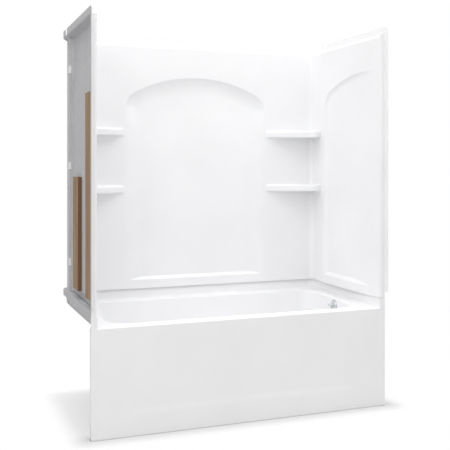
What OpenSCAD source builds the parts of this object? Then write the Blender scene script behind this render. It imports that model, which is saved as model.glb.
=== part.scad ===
/* [Bath] */
// Length of the bath over its apron
bath_len = 1524; // [1400:1:1650]
// Depth of the bath from the apron face to the back studs
bath_depth = 813; // [780:1:864]
// Height of the rim above the floor
rim_h = 505; // [470:1:540]
// Depth of the well below the rim
well_depth = 356; // [330:1:380]
// Thickness of the moulded well and deck
bath_wall = 5; // [4:0.5:6.5]
// Thickness of the apron
apron_t = 6; // [5:0.5:8]
// How far the nose of the front rim stands out from the apron
nose_out = 5; // [3:0.5:8]
// Radius of the nose of the front rim
nose_r = 12; // [9:0.5:16]
// Depth of the lips that stiffen the edges of the apron
apron_lip = 30; // [20:1:45]
// Ribs on the back of the apron
apron_ribs = 5; // [3:1:7]
// Depth of the shallow panel in the apron, at its lower edge
apron_relief = 2.5; // [1:0.5:3.5]

/* [Well outline] */
// Front rim, from the apron face to the well
front_rim = 72; // [60:1:90]
// Back deck, from the wall panel to the well
back_deck = 85; // [70:1:110]
// End decks, from the wall panel to the well at the back
end_deck = 32; // [25:1:60]
// How much wider the end decks are at the front
end_splay = 36; // [10:1:60]
// Radius of the front corner beside the backrest
rest_corner_r = 105; // [80:1:140]
// Radius of the front corner beside the drain
drain_corner_r = 160; // [110:1:190]
// Radius of the back corners of the well
back_corner_r = 95; // [70:1:130]
// Radius of the corners of the well at its floor
floor_corner_r = 90; // [60:1:110]
// Radius between the floor and the walls of the well
floor_fillet_r = 70; // [45:1:90]
// Radius of the rolled edge of the well
roll_r = 10; // [6:1:14]
// Horizontal run of the sloping backrest
backrest_run = 200; // [120:1:260]
// Horizontal run of the drain end
drain_run = 30; // [20:1:60]
// Horizontal run of the front and back walls of the well
side_run = 36; // [20:1:60]

/* [Upstand] */
// Height of the upstand above the rim
upstand_h = 51; // [35:1:60]
// Height of the tiling flange above the upstand
tile_flange_h = 19; // [12:1:19]
// Thickness of the tiling flange
tile_flange_t = 4; // [3:0.5:5]
// How far the upstand stands behind the wall face
upstand_set = 2.5; // [1:0.5:3]
// Radius at the foot of the upstand
upstand_fillet_r = 22; // [10:1:28]

/* [Wall panels] */
// Overall height of the unit
overall_h = 1960; // [1850:1:2050]
// Thickness of the moulded panels
panel_t = 4; // [3:0.5:5]
// Distance from the wall studs to the face of the panels
wall_gap = 28; // [28:1:34]
// Thickness of the nailing flanges
flange_t = 3; // [2:0.5:4]
// How far the front nailing flanges stand ahead of the apron
flange_fwd = 28; // [20:1:40]
// Height of the top nailing flange
flange_h = 34; // [25:1:45]
// Fall of the sloping ledge below the top flange
ledge_drop = 18; // [10:1:25]
// Radius of the rear corners of the enclosure
cove_r = 30; // [26:1:90]
// Distance from the apron face to the joint between the panels
seam_y = 655; // [640:1:665]
// Gap in the joint between the panels
seam_gap = 0.4; // [0.2:0.1:1]
// How far the joint ribs stand out behind the panels
rib_out = 18; // [14:1:20]
// How far the bottom lip of the end walls hangs below their ledge
lip_drop = 44; // [30:1:50]
// How much shorter the lip is beside the back wall
lip_step = 12; // [6:1:20]
// Distance from the apron face to the step in the lip
lip_step_y = 545; // [500:1:600]
// Lower end of the front nailing flanges above the rim
flange_foot = 83; // [80:1:120]
// Corner radius of the front nailing flanges
flange_corner_r = 18; // [8:1:24]
// End of the top flange of the end walls, ahead of the joint
end_flange_gap = 10; // [5:1:20]
// Start of the top flange of the back wall, behind the joint
back_flange_gap = 25; // [10:1:40]

/* [Arch recesses] */
// Half width of the arch in the back wall
back_arch_a = 421; // [380:1:422]
// Radius of the arch in the back wall
back_arch_r = 726; // [600:1:1000]
// Radius of the shoulders of the arch in the back wall
back_shoulder_r = 90; // [40:1:140]
// Height of the crown of both arches
arch_crown = 1737; // [1650:1:1780]
// Depth of the recess in the back wall
back_recess = 12; // [6:1:12]
// Height above the upstand of the sill of the back recess
back_sill = 48; // [35:1:70]
// Depth of the recess in the end walls
end_recess = 8; // [5:1:10]
// Distance from the apron face to the middle of the end arches
end_arch_y = 150; // [120:1:180]
// Half width of the arch in the end walls
end_arch_a = 455; // [420:1:460]
// Radius of the arch in the end walls
end_arch_r = 1050; // [800:1:1300]
// Radius of the shoulders of the arch in the end walls
end_shoulder_r = 120; // [60:1:180]
// Height above the upstand of the sill of the end recesses
end_sill = 28; // [26:1:50]
// Height of the sloping sills
sill_rise = 12; // [6:1:18]

/* [Shelves] */
// Length of the shelves along the back wall
shelf_len = 303; // [200:1:305]
// Thickness of the shelves
shelf_t = 37; // [25:1:50]
// Height of the top of the lower shelves
low_shelf_z = 1128; // [1000:1:1200]
// Height of the top of the upper shelves
high_shelf_z = 1446; // [1350:1:1500]
// Width of the blunt end of the shelves at the end wall
shelf_end = 42; // [30:1:60]
// Radius at the blunt end of the shelves
shelf_end_r = 24; // [10:1:35]

/* [Backer boards] */
// Width of the boards
board_w = 146; // [120:1:160]
// Thickness of the boards on the end walls
board_t = 18; // [15:0.5:19]
// Thickness of the boards on the back wall
back_board_t = 11; // [9:0.5:11]
// Film of adhesive behind the boards
glue_t = 0.3; // [0.2:0.1:0.5]
// Length of the tall board
tall_board_len = 957; // [800:1:1050]
// Length of the short board
short_board_len = 562; // [450:1:700]
// Distance from the apron face to the tall board
tall_board_y = 25; // [20:1:60]
// Distance from the apron face to the short board
short_board_y = 363; // [330:1:400]
// Height above the rim of the foot of the boards
board_foot = 118; // [110:1:160]
// Length of the boards on the back wall
back_board_len = 780; // [600:1:800]
// Gap between the two boards on the back wall
back_board_gap = 30; // [10:1:60]

/* [Joint clips] */
// Clips on each joint
clip_count = 3; // [2:1:4]
// Length of a clip
clip_len = 38; // [25:1:50]
// Wall of a clip
clip_t = 2; // [1.5:0.5:3]
// Play between a clip and the ribs
clip_play = 0.1; // [0.05:0.05:0.3]
// Depth of a clip over the ribs
clip_grip = 12; // [8:1:13]
// Height above the floor of the lowest clip
clip_low_z = 717; // [650:1:800]
// Height above the floor of the highest clip
clip_high_z = 1727; // [1650:1:1800]

/* [Base] */
// Thickness of the board under the well
base_board_t = 12; // [9:1:18]
// Length of the board under the well
base_board_len = 800; // [600:1:820]
// Width of the board under the well
base_board_w = 350; // [280:1:370]
// Distance from the drain to the board under the well
base_board_clear = 95; // [80:1:120]
// Width of a runner
runner_w = 38; // [30:1:50]
// Length of a runner from front to back
runner_len = 400; // [360:1:440]
// Distance of the outer runners from the ends of the board
runner_inset = 60; // [30:1:120]

/* [Waste] */
// Outer diameter of the waste tubes
tube_d = 38.1; // [32:0.1:40]
// Wall of the waste tubes
tube_t = 1.2; // [0.8:0.1:2]
// Wall of the cast waste fittings
fitting_t = 4; // [3:0.5:5]
// Play between a tube and its socket
tube_play = 0.1; // [0.05:0.05:0.3]
// How deep a tube sits in its socket
tube_seat = 18; // [12:1:22]
// Distance from the right end of the apron to the drain
drain_in = 279; // [250:1:320]
// Radius of the hole for the drain
drain_hole_r = 26; // [24:0.5:30]
// Radius of the drain flange
drain_flange_r = 35; // [32:0.5:40]
// Thickness of the drain flange
drain_flange_t = 3; // [2:0.5:4]
// Height of the centre of the waste arm
arm_z = 92; // [88:1:100]
// Thickness of the rubber under the drain and behind the overflow
rubber_t = 5; // [3:0.5:8]
// Length of the bare end of the tailpiece
tail_len = 38; // [30:1:40]
// Thickness of the washer in a slip joint
slip_washer_t = 5; // [4:0.5:8]
// Half length of a slip nut
slip_nut_half = 9.5; // [9:0.5:10]
// How much slimmer the tailpiece is above its bare end
tail_neck = 0.2; // [0.1:0.05:0.3]

/* [Overflow and lever] */
// Height of the centre of the overflow below the rim
overflow_down = 55; // [50:1:80]
// Radius of the overflow hole
overflow_hole_r = 30; // [27:0.5:32]
// Radius of the overflow cover
cover_r = 42; // [38:0.5:46]
// Height of the dome of the overflow cover
cover_dome = 9; // [6:0.5:12]
// Thickness of the overflow cover
cover_t = 1.5; // [1:0.1:2]
// Distance of the cover screws from its centre
cover_screw_at = 25; // [22:0.5:26]
// Radius of the cover screws
cover_screw_r = 2.1; // [1.5:0.1:2.5]
// Distance from the inner face of the well to the overflow tube
overflow_back = 45; // [44:1:52]
// Length of the outer arm of the lever
lever_out = 34; // [26:1:40]
// Angle through which the lever turns
lever_swing = 40; // [30:1:44]
// Radius of the lever's pivot
pivot_r = 2; // [1.5:0.1:2.5]
// Radial play on the lever's pivot
pivot_play = 0.05; // [0.02:0.01:0.1]
// Radius of the lifting rod
rod_r = 2; // [1.5:0.1:2.5]
// Length of the plunger
plunger_len = 40; // [34:1:44]

/* [Hidden] */
$fn = 64;

// Colours
white = "#f3f3f1";
ply = "#a98a66";
pine = "#c9ab7e";
chrome = "#c8cacc";
brass = "#b5984f";
rubber = "#303030";
nylon = "#e2e2df";

// Driving planes, measured from the middle of the apron face
half_len = bath_len/2;
box_back = bath_depth + flange_t;
mid_y = (box_back - flange_fwd)/2;
wall_x = half_len - wall_gap;
wall_y = bath_depth - wall_gap;
eps = 0.5;

// Levels
deck_t = bath_wall + 1;
floor_z = rim_h - well_depth;
under_z = floor_z - bath_wall;
sill_z = rim_h + upstand_h;
panel_z = sill_z + 0.3;
flange_foot_z = rim_h + flange_foot;
flange_z = overall_h - flange_h;
ledge_z = flange_z - ledge_drop;
skirt_z = sill_z + tile_flange_h + 2;
tile_flange_u = wall_gap - 2*tile_flange_t;
plane_u = wall_gap;

// Outline of the well at the rim
well_x0 = -wall_x + end_deck;
well_x1 = wall_x - end_deck;
well_y0 = front_rim;
well_y1 = wall_y - back_deck;
well_mid = (well_y0 + well_y1)/2;

// Overflow axis
overflow_z = rim_h - overflow_down;
overflow_h = overflow_z - floor_z;
end_lean = atan(drain_run/well_depth);
end_yf = well_y0 + side_in(overflow_h, side_run, 0);
end_yb = well_y1 - side_in(overflow_h, side_run, 0);
end_turn = -atan(end_splay/(end_yb - end_yf));
overflow_y = well_mid - overflow_back*sin(end_turn);
overflow_x = well_x1 - side_in(overflow_h, drain_run, 0) - end_splay/2
    + (overflow_y - well_mid)*end_splay/(end_yb - end_yf);
seat_cut = 1;
pad_out = bath_wall + 2;
elbow_face = pad_out + rubber_t;
elbow_flange_t = 4;
elbow_flange_r = overflow_hole_r + 10;
tube_x = overflow_x + overflow_back*cos(end_turn);

// Waste fittings
tube_r = tube_d/2;
tube_in_r = tube_r - tube_t;
socket_r = tube_r + tube_play;
body_r = tube_in_r + fitting_t + 2;
spigot_r = tube_r + fitting_t + 1;
nut_lip_t = 5;
nut_af = 2*(spigot_r + 5);
drain_x = half_len - drain_in;
shoe_top = under_z - rubber_t;
shoe_flange_t = 5;
shoe_thread_r = 19;
tee_top_z = arm_z + 66;
tee_foot_z = arm_z - 34;
foot_seat = tube_seat/2;
tail_neck_z = tee_foot_z - slip_nut_half - 1;
tail_end_z = tail_neck_z - tail_len;
elbow_foot_z = overflow_z - 52;
shoe_reach = 48;
tee_reach = 50;
arm_x0 = drain_x + shoe_reach - tube_seat;
arm_x1 = tube_x - tee_reach + tube_seat;

// Trip lever
pivot_z = -1.5;
lever_w = 5;
lever_h = 4;
ear_t = 2;
ear_gap = lever_w + 1;
ear_r = pivot_r + 1.5;
arm_len = overflow_back + pivot_z + 2;
yoke_w = 14;
yoke_h = 11;
yoke_t = 5;
tip_r = 1.8;
tip_play = 0.5;
arm_side = yoke_t/2 + 1;
arm_t = 2;
seat_r = 13;
plunger_r = tube_in_r - 1.2;
plunger_z = arm_z - 21;
tip_z = overflow_z + pivot_z*sin(end_lean) - arm_len*sin(end_lean + lever_swing/2);

function lerp(a, b, t) = a + (b - a)*t;

// Inset of a wall of the well at height h above its floor, for a surface grown by g
function fillet_in(h, r) = h >= r ? 0 : r - sqrt(r*r - (r - h)*(r - h));
function roll_in(h) = h <= well_depth - roll_r ? roll_r
    : h >= well_depth ? 0
    : sqrt(roll_r*roll_r - pow(h - well_depth + roll_r, 2));
function side_in(h, run, g) = run*(1 - min(h, well_depth)/well_depth)
    + fillet_in(h + g, floor_fillet_r + g) + (g > 0 ? roll_r : roll_in(h));

// Points of a polygon whose corners are rounded by arcs; the corners run anticlockwise
function unit2(v) = v/norm(v);
function corner_arc(p, before, after, r, n) =
    let (a = unit2(before - p), b = unit2(after - p), c = a*b,
         half_tan = sqrt((1 - c)/(1 + c)), half_sin = sqrt((1 - c)/2),
         centre = p + unit2(a + b)*r/half_sin,
         first = p + a*r/half_tan - centre,
         start = atan2(first[1], first[0]), sweep = 180 - acos(c))
    [for (k = [0:n]) centre + r*[cos(start + sweep*k/n), sin(start + sweep*k/n)]];
function rounded(points, radii, n) =
    let (m = len(points))
    [for (i = [0:m - 1]) each (radii[i] <= 0 ? [points[i]]
        : corner_arc(points[i], points[(i + m - 1) % m], points[(i + 1) % m], radii[i], n))];

// One level of the well: a quadrilateral that is narrower at the front, with round corners
function well_ring(h, g, extra) =
    let (s = min(1, max(0, h/well_depth)), e = g + extra,
         x0 = well_x0 + side_in(h, backrest_run, g) - e, x1 = well_x1 - side_in(h, drain_run, g) + e,
         y0 = well_y0 + side_in(h, side_run, g) - e, y1 = well_y1 - side_in(h, side_run, g) + e)
    [for (p = rounded([[x0 + end_splay, y0], [x1 - end_splay, y0], [x1, y1], [x0, y1]],
                      [for (r = [rest_corner_r, drain_corner_r, back_corner_r, back_corner_r])
                          lerp(floor_corner_r, r, s) + e], 7))
        [p[0], p[1], floor_z + h]];
function fillet_levels(g, n) = [for (k = [0:n]) (floor_fillet_r + g)*(1 - cos(90*k/n)) - g];
function roll_levels(n) = [for (k = [0:n]) well_depth - roll_r + roll_r*sin(90*k/n)];

// Faces between rings of equal counts of points, from the lowest ring to the highest
module loft(rings) {
    n = len(rings[0]);
    last = len(rings) - 1;
    polyhedron(
        points = [for (ring = rings) each ring],
        faces = concat(
            [[for (j = [0:n - 1]) j]],
            [[for (j = [n - 1:-1:0]) last*n + j]],
            [for (i = [0:last - 1], j = [0:n - 1]) each [
                [i*n + j, (i + 1)*n + j, (i + 1)*n + (j + 1) % n],
                [i*n + j, (i + 1)*n + (j + 1) % n, i*n + (j + 1) % n]]]));
}

module home() translate([0, -mid_y, 0]) children();
module both_ends() for (s = [0, 1]) mirror([s, 0, 0]) children();
module z_slab(z0, z1) translate([0, 0, z0]) linear_extrude(z1 - z0) children();

// Plan of the space between the panels, grown by g, with round rear corners
module inside_plan(g, y0) {
    hx = wall_x + g;
    yb = wall_y + g;
    r = cove_r + g;
    difference() {
        translate([-hx, y0]) square([2*hx, yb - y0]);
        for (s = [0, 1]) mirror([s, 0]) difference() {
            translate([hx - r, yb - r]) square([r + 1, r + 1]);
            translate([hx - r, yb - r]) circle(r);
        }
    }
}
module inside_ring(g0, g1, y0) difference() {
    inside_plan(g1, y0);
    inside_plan(g0, y0 - 1);
}

// A section carried round the two ends and the back; x of the section is the distance outward
module sweep_round(y0) {
    straight_y = wall_y - cove_r;
    both_ends() {
        translate([wall_x, straight_y, 0]) rotate([90, 0, 0]) linear_extrude(straight_y - y0) children();
        translate([wall_x - cove_r, straight_y, 0])
            rotate_extrude(angle = 90) translate([cove_r, 0]) children();
    }
    translate([cove_r - wall_x, wall_y, 0]) rotate([90, 0, 90])
        linear_extrude(2*(wall_x - cove_r)) children();
}

module upstand_fillet_section() {
    top = rim_h + upstand_fillet_r;
    polygon(concat(
        [[upstand_set + 1, rim_h - 1], [upstand_set + 1, top], [upstand_set, top]],
        [for (k = [1:6]) [upstand_set - upstand_fillet_r*(1 - cos(15*k)),
                          top - upstand_fillet_r*sin(15*k)]],
        [[upstand_set - upstand_fillet_r, rim_h - 1]]));
}

// Bath: well, deck, upstand, tiling flange and apron in one moulding
module bath() color(white) home() difference() {
    union() {
        loft(concat(
            [for (h = fillet_levels(bath_wall, 4)) well_ring(h, bath_wall, 0)],
            [well_ring(well_depth - 30, bath_wall, 0), well_ring(well_depth - deck_t + 1, bath_wall, 4)]));
        z_slab(rim_h - deck_t, rim_h) inside_plan(upstand_set + bath_wall, apron_t);
        z_slab(rim_h - deck_t, sill_z) inside_ring(upstand_set, upstand_set + bath_wall, 0);
        sweep_round(0) upstand_fillet_section();
        z_slab(sill_z - bath_wall, sill_z) inside_ring(upstand_set, tile_flange_u + tile_flange_t, 0);
        // The tiling flange starts behind the front returns of the end walls
        z_slab(sill_z - 1, sill_z + tile_flange_h)
            inside_ring(tile_flange_u, tile_flange_u + tile_flange_t, panel_t + 1);
        apron();
        at_overflow() translate([0, 0, -pad_out]) cylinder(r = elbow_flange_r + 3, h = pad_out - 1);
    }
    loft(concat(
        [for (h = fillet_levels(0, 5)) well_ring(h, 0, 0)],
        [for (h = roll_levels(4)) well_ring(h, 0, 0)],
        [well_ring(well_depth + 1, 0, 0)]));
    translate([drain_x, well_mid, under_z - 1]) cylinder(r = drain_hole_r, h = bath_wall + 2);
    translate([drain_x, well_mid, floor_z - drain_flange_t + 0.5])
        cylinder(r = drain_flange_r + 1, h = drain_flange_t + 1);
    at_overflow() {
        translate([0, 0, -pad_out - 1]) cylinder(r = overflow_hole_r, h = pad_out + 8);
        translate([0, 0, -seat_cut]) cylinder(r = cover_r + 1, h = 9);
    }
}

// Apron: plate, rolled nose, stiffening lips, ribs and the ears beside the wall panels
module apron() {
    nose_y = nose_r - nose_out;
    nose_z = rim_h - nose_r;
    difference() {
        union() {
            translate([-half_len, 0, 0]) cube([bath_len, apron_t, nose_z]);
            translate([-half_len, nose_y, nose_z]) rotate([0, 90, 0]) cylinder(r = nose_r, h = bath_len);
        }
        apron_panel();
    }
    translate([-half_len, nose_y, rim_h - deck_t]) cube([bath_len, apron_lip - nose_y, deck_t]);
    translate([-half_len, 0, 0]) cube([bath_len, apron_lip, bath_wall]);
    both_ends() {
        translate([half_len - bath_wall, 0, 0]) cube([bath_wall, apron_lip, rim_h - 1]);
        translate([wall_x + upstand_set, 0, rim_h - nose_r]) cube([wall_gap - upstand_set, apron_t,
            sill_z - rim_h + nose_r]);
    }
    pitch = bath_len/(apron_ribs + 1);
    for (i = [1:apron_ribs])
        translate([-half_len + i*pitch - 2, apron_t - 1, 1]) cube([4, apron_lip - apron_t, rim_h - deck_t]);
}

// Shallow panel that fades out towards the top of the apron
module apron_panel() {
    foot = 130;
    top = rim_h - 80;
    tilt = atan(apron_relief/(top - foot));
    narrow = half_len - 168;
    wide = half_len - 115;
    crown = 9;
    outline = rounded([[-narrow, foot], [0, foot + crown], [narrow, foot], [wide, top], [-wide, top]],
                      [30, 0, 30, 0, 0], 6);
    translate([0, 0, top]) rotate([tilt, 0, 0]) translate([0, 0, -top])
        rotate([90, 0, 0]) linear_extrude(20) polygon(outline);
}

// Frame of the overflow: +Z into the well, +X up the wall
module at_overflow() translate([overflow_x, overflow_y, overflow_z])
    rotate([0, 0, end_turn]) rotate([0, end_lean - 90, 0]) children();

// Outline of an arch over a straight sill: half width a, radius r and shoulder radius s, grown by g
function arch(a, r, s, foot, crown, g, from_x) =
    let (mid_z = crown - r, rise = sqrt(pow(r - s, 2) - pow(a - s, 2)), turn = atan2(rise, a - s),
         side = concat(
             [for (k = [0:5]) [a - s, mid_z + rise] + (s + g)*[cos(turn*k/6), sin(turn*k/6)]],
             [for (k = [0:13]) let (t = turn + (90 - turn)*k/14) [0, mid_z] + (r + g)*[cos(t), sin(t)]]))
    concat(
        [[max(from_x, -a - g), foot - g], [a + g, foot - g]],
        side,
        [[0, crown + g]],
        [for (k = [len(side) - 1:-1:0]) if (-side[k][0] > from_x) [-side[k][0], side[k][1]]],
        from_x > -a - g ? [[from_x, mid_z + sqrt(pow(r + g, 2) - from_x*from_x)]] : []);
function back_arch(foot, g) =
    arch(back_arch_a, back_arch_r, back_shoulder_r, foot, arch_crown, g, -half_len);
function end_arch(foot, g, from_x) =
    arch(end_arch_a, end_arch_r, end_shoulder_r, foot, arch_crown, g, from_x);

// Section of the sloping top ledge with its nailing flange; x is the distance outward
module ledge_section() polygon([
    [0, ledge_z - panel_t], [panel_t, ledge_z - panel_t], [plane_u, flange_z - panel_t],
    [plane_u + flange_t, flange_z - panel_t], [plane_u + flange_t, overall_h], [plane_u, overall_h],
    [plane_u, flange_z], [panel_t, ledge_z], [0, ledge_z]]);

// Extrudes a section along Y on the right-hand end; x of the section is the distance outward
module end_run(y0, y1) translate([wall_x, y1, 0]) rotate([90, 0, 0]) linear_extrude(y1 - y0) children();

// Plan of a shelf, inset by w at its front edge and carried g behind the face of the panel
module shelf_plan(w, g) {
    tip = wall_x - shelf_len + 2*w;
    edge_y = seam_y + seam_gap/2 + w;
    polygon(rounded([[tip, wall_y + 1], [wall_x - shelf_end, edge_y], [wall_x + g, edge_y],
                     [wall_x + g, wall_y + g], [tip, wall_y + g]],
                    [0, shelf_end_r - w/2, 0, cove_r + g, 0], 8));
}

// Back wall: U-shaped panel with four hollow shelves, an arched recess and its flanges
module back_wall() color(white) home() {
    rib_y = seam_y + seam_gap/2;
    foot = sill_z + back_sill;
    flange_y = seam_y + back_flange_gap;
    difference() {
        union() {
            sweep_round(rib_y) translate([0, panel_z]) square([panel_t, ledge_z - panel_z]);
            translate([0, wall_y + panel_t + back_recess, 0]) rotate([90, 0, 0])
                linear_extrude(panel_t + back_recess)
                    polygon(back_arch(foot, panel_t));
            both_ends() {
                for (z = [low_shelf_z, high_shelf_z]) z_slab(z - shelf_t, z) shelf_plan(0, panel_t - 1);
                translate([wall_x, rib_y, skirt_z]) cube([rib_out, panel_t, ledge_z - skirt_z - 1]);
                z_slab(skirt_z, ledge_z - 1) intersection() {
                    translate([wall_x, wall_y + panel_t - cove_r]) square([panel_t, cove_r + wall_gap]);
                    inside_plan(plane_u + 1, rib_y);
                }
            }
        }
        translate([0, wall_y + back_recess, 0]) rotate([90, 0, 0]) linear_extrude(back_recess + 1)
            polygon(back_arch(foot + sill_rise, 0));
        translate([-back_arch_a, 0, 0]) rotate([90, 0, 90]) linear_extrude(2*back_arch_a)
            polygon([[wall_y - 1, foot], [wall_y, foot], [wall_y + back_recess, foot + sill_rise],
                     [wall_y + back_recess, foot + sill_rise + 1], [wall_y - 1, foot + sill_rise + 1]]);
        both_ends() for (z = [low_shelf_z, high_shelf_z])
            z_slab(z - shelf_t + panel_t, z - panel_t) intersection() {
                shelf_plan(panel_t, panel_t + 1);
                translate([0, seam_y + 2*panel_t]) square([half_len, bath_depth]);
            }
    }
    // Sloping ledge and top flange, carried round the corners
    sweep_round(flange_y) ledge_section();
    both_ends() end_run(rib_y, flange_y + 1) intersection() {
        ledge_section();
        square([plane_u + flange_t, flange_z]);
    }
    // Bottom ledge and its lip
    z_slab(skirt_z, skirt_z + panel_t) inside_ring(panel_t - 0.5, plane_u + flange_t, rib_y);
    z_slab(skirt_z + panel_t - lip_drop + lip_step, skirt_z + 1)
        inside_ring(plane_u, plane_u + flange_t, rib_y);
}

// Plan of the skin of an end wall; the field stands proud by the depth of the recess at the rear
function skin_line(u) = [[u, 0], [u, 30], [u - end_recess, 180], [u - end_recess, seam_y - seam_gap/2]];

// Right-hand end wall
module end_wall() {
    rear_y = seam_y - seam_gap/2;
    foot = sill_z + end_sill;
    arch_y0 = 12 - end_arch_y;
    skin = concat(skin_line(0), [for (i = [3:-1:0]) skin_line(panel_t)[i]]);
    difference() {
        union() {
            z_slab(panel_z, ledge_z) translate([wall_x, 0]) polygon(skin);
            translate([wall_x - end_recess, end_arch_y, 0]) rotate([90, 0, 90])
                linear_extrude(end_recess + panel_t)
                    polygon(end_arch(foot, panel_t, arch_y0 - panel_t));
        }
        translate([wall_x - end_recess - 1, end_arch_y, 0]) rotate([90, 0, 90])
            linear_extrude(end_recess + 1)
                polygon(end_arch(foot + sill_rise, 0, arch_y0));
        translate([0, end_arch_y + end_arch_a, 0]) rotate([90, 0, 0])
            linear_extrude(end_arch_a - arch_y0)
                polygon([[wall_x - end_recess - 1, foot], [wall_x - end_recess, foot],
                         [wall_x, foot + sill_rise], [wall_x, foot + sill_rise + 1],
                         [wall_x - end_recess - 1, foot + sill_rise + 1]]);
        // Front strip in front of the arch stays level with the recess
        translate([wall_x - end_recess - 1, -1, panel_z - 1]) cube([end_recess + 1, 13, overall_h]);
    }
    // Front return and the joint rib at the rear
    z_slab(panel_z, flange_z) translate([wall_x, 0]) square([plane_u + flange_t, panel_t]);
    translate([wall_x - end_recess, rear_y - panel_t, skirt_z])
        cube([rib_out + end_recess, panel_t, ledge_z - skirt_z - 1]);
    // Level plates between the skin and the ledges
    for (z = [ledge_z, skirt_z + panel_t]) z_slab(z - panel_t, z) translate([wall_x, 0])
        polygon(concat(skin_line(0), [[panel_t, rear_y], [panel_t, 0]]));
    end_run(0, rear_y) intersection() {
        ledge_section();
        square([plane_u + flange_t, flange_z]);
    }
    // Nailing flange down the front and along the top
    under = flange_z - panel_t;
    end_y = rear_y - end_flange_gap;
    translate([half_len, 0, 0]) rotate([90, 0, 90]) linear_extrude(flange_t)
        polygon(rounded([[-flange_fwd, flange_foot_z], [panel_t, flange_foot_z], [panel_t, under],
                         [end_y, under], [end_y, overall_h], [-flange_fwd, overall_h]],
                        [flange_corner_r, 0, 0, 0, 3, flange_corner_r], 6));
    // Bottom ledge and its stepped lip
    translate([wall_x + panel_t - 0.5, 0, skirt_z])
        cube([plane_u + flange_t - panel_t + 0.5, rear_y, panel_t]);
    translate([half_len, 0, skirt_z + panel_t - lip_drop])
        cube([flange_t, lip_step_y, lip_drop]);
    translate([half_len, lip_step_y - 1, skirt_z + panel_t - lip_drop + lip_step])
        cube([flange_t, rear_y - lip_step_y + 1, lip_drop - lip_step]);
}
module right_end_wall() color(white) home() end_wall();
module left_end_wall() color(white) home() mirror([1, 0, 0]) end_wall();

// U-shaped clips that hold the two ribs of a joint together
module joint_clips() {
    slot = 2*panel_t + seam_gap + 2*clip_play;
    reach = clip_grip + clip_play;
    pitch = (clip_high_z - clip_low_z)/(clip_count - 1);
    for (i = [0:clip_count - 1])
        translate([wall_x + rib_out - clip_grip, seam_y, clip_low_z + i*pitch]) difference() {
            translate([0, -slot/2 - clip_t, 0]) cube([reach + clip_t, slot + 2*clip_t, clip_len]);
            translate([-1, -slot/2, -1]) cube([reach + 1, slot, clip_len + 2]);
        }
}
module right_joint_clips() color(nylon) home() joint_clips();
module left_joint_clips() color(nylon) home() mirror([1, 0, 0]) joint_clips();

// Boards bonded to the outside of the panels, to carry grab bars
module end_board(y, length) color(ply) home()
    translate([wall_x + panel_t + glue_t, y, rim_h + board_foot]) cube([board_t, board_w, length]);
module right_tall_board() end_board(tall_board_y, tall_board_len);
module right_short_board() end_board(short_board_y, short_board_len);
module left_tall_board() mirror([1, 0, 0]) end_board(tall_board_y, tall_board_len);
module left_short_board() mirror([1, 0, 0]) end_board(short_board_y, short_board_len);

module back_board(z) color(ply) home()
    translate([-back_board_len/2, wall_y + back_recess + panel_t + glue_t, z])
        cube([back_board_len, back_board_t, board_w]);
module lower_back_board() back_board(rim_h + board_foot + 30);
module upper_back_board() back_board(rim_h + board_foot + 30 + board_w + back_board_gap);

// Board bonded under the well, on three runners
base_x1 = drain_x - base_board_clear;
module base_board() color(ply) home()
    translate([base_x1 - base_board_len, well_mid - base_board_w/2, under_z - base_board_t])
        cube([base_board_len, base_board_w, base_board_t]);
module runner(x) color(pine) home() translate([x - runner_w/2, well_mid - runner_len/2, 0])
    cube([runner_w, runner_len, under_z - base_board_t]);
module left_runner() runner(base_x1 - base_board_len + runner_inset);
module middle_runner() runner(base_x1 - base_board_len/2);
module right_runner() runner(base_x1 - runner_inset);

// Overflow cover: a dome with a slot for the lever and two ears behind it
module overflow_cover() color(chrome) home() at_overflow() difference() {
    union() {
        translate([0, 0, -seat_cut]) rotate_extrude() polygon(concat(
            [[cover_r, 0], [cover_r, cover_t]],
            [for (k = [0:8]) let (t = 90*k/8)
                [(cover_r - 6)*cos(t), cover_t + (cover_dome - cover_t)*sin(t)]],
            [for (k = [8:-1:0]) let (t = 90*k/8)
                [(cover_r - 6 - cover_t)*cos(t), (cover_dome - cover_t)*sin(t)]]));
        for (s = [-1, 1]) translate([0, s*(ear_gap + ear_t)/2, pivot_z]) {
            translate([-ear_r, -ear_t/2, 0])
                cube([2*ear_r, ear_t, cover_dome - cover_t - pivot_z - 1]);
            rotate([90, 0, 0]) cylinder(r = ear_r, h = ear_t, center = true);
        }
    }
    translate([-lever_h - 5, -lever_w/2 - 0.5, 0]) cube([2*lever_h + 10, lever_w + 1, cover_dome + 5]);
    translate([0, 0, pivot_z]) rotate([90, 0, 0])
        cylinder(r = pivot_r + pivot_play, h = ear_gap + 2*ear_t + 2, center = true);
    for (s = [-1, 1]) translate([0, s*cover_screw_at, -seat_cut - 1])
        cylinder(r = cover_screw_r + 0.2, h = cover_dome + 5);
}

module cover_screws() color(chrome) home() at_overflow() for (s = [-1, 1])
    translate([0, s*cover_screw_at, 0]) {
        t = acos((cover_screw_at - 4)/(cover_r - 6));
        head_z = cover_t + (cover_dome - cover_t)*sin(t) - seat_cut;
        translate([0, 0, head_z]) cylinder(r1 = 4, r2 = 3, h = 2.5, $fn = 48);
        translate([0, 0, -elbow_face - elbow_flange_t - 4])
            cylinder(r = cover_screw_r, h = head_z + elbow_face + elbow_flange_t + 5);
    }

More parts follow.
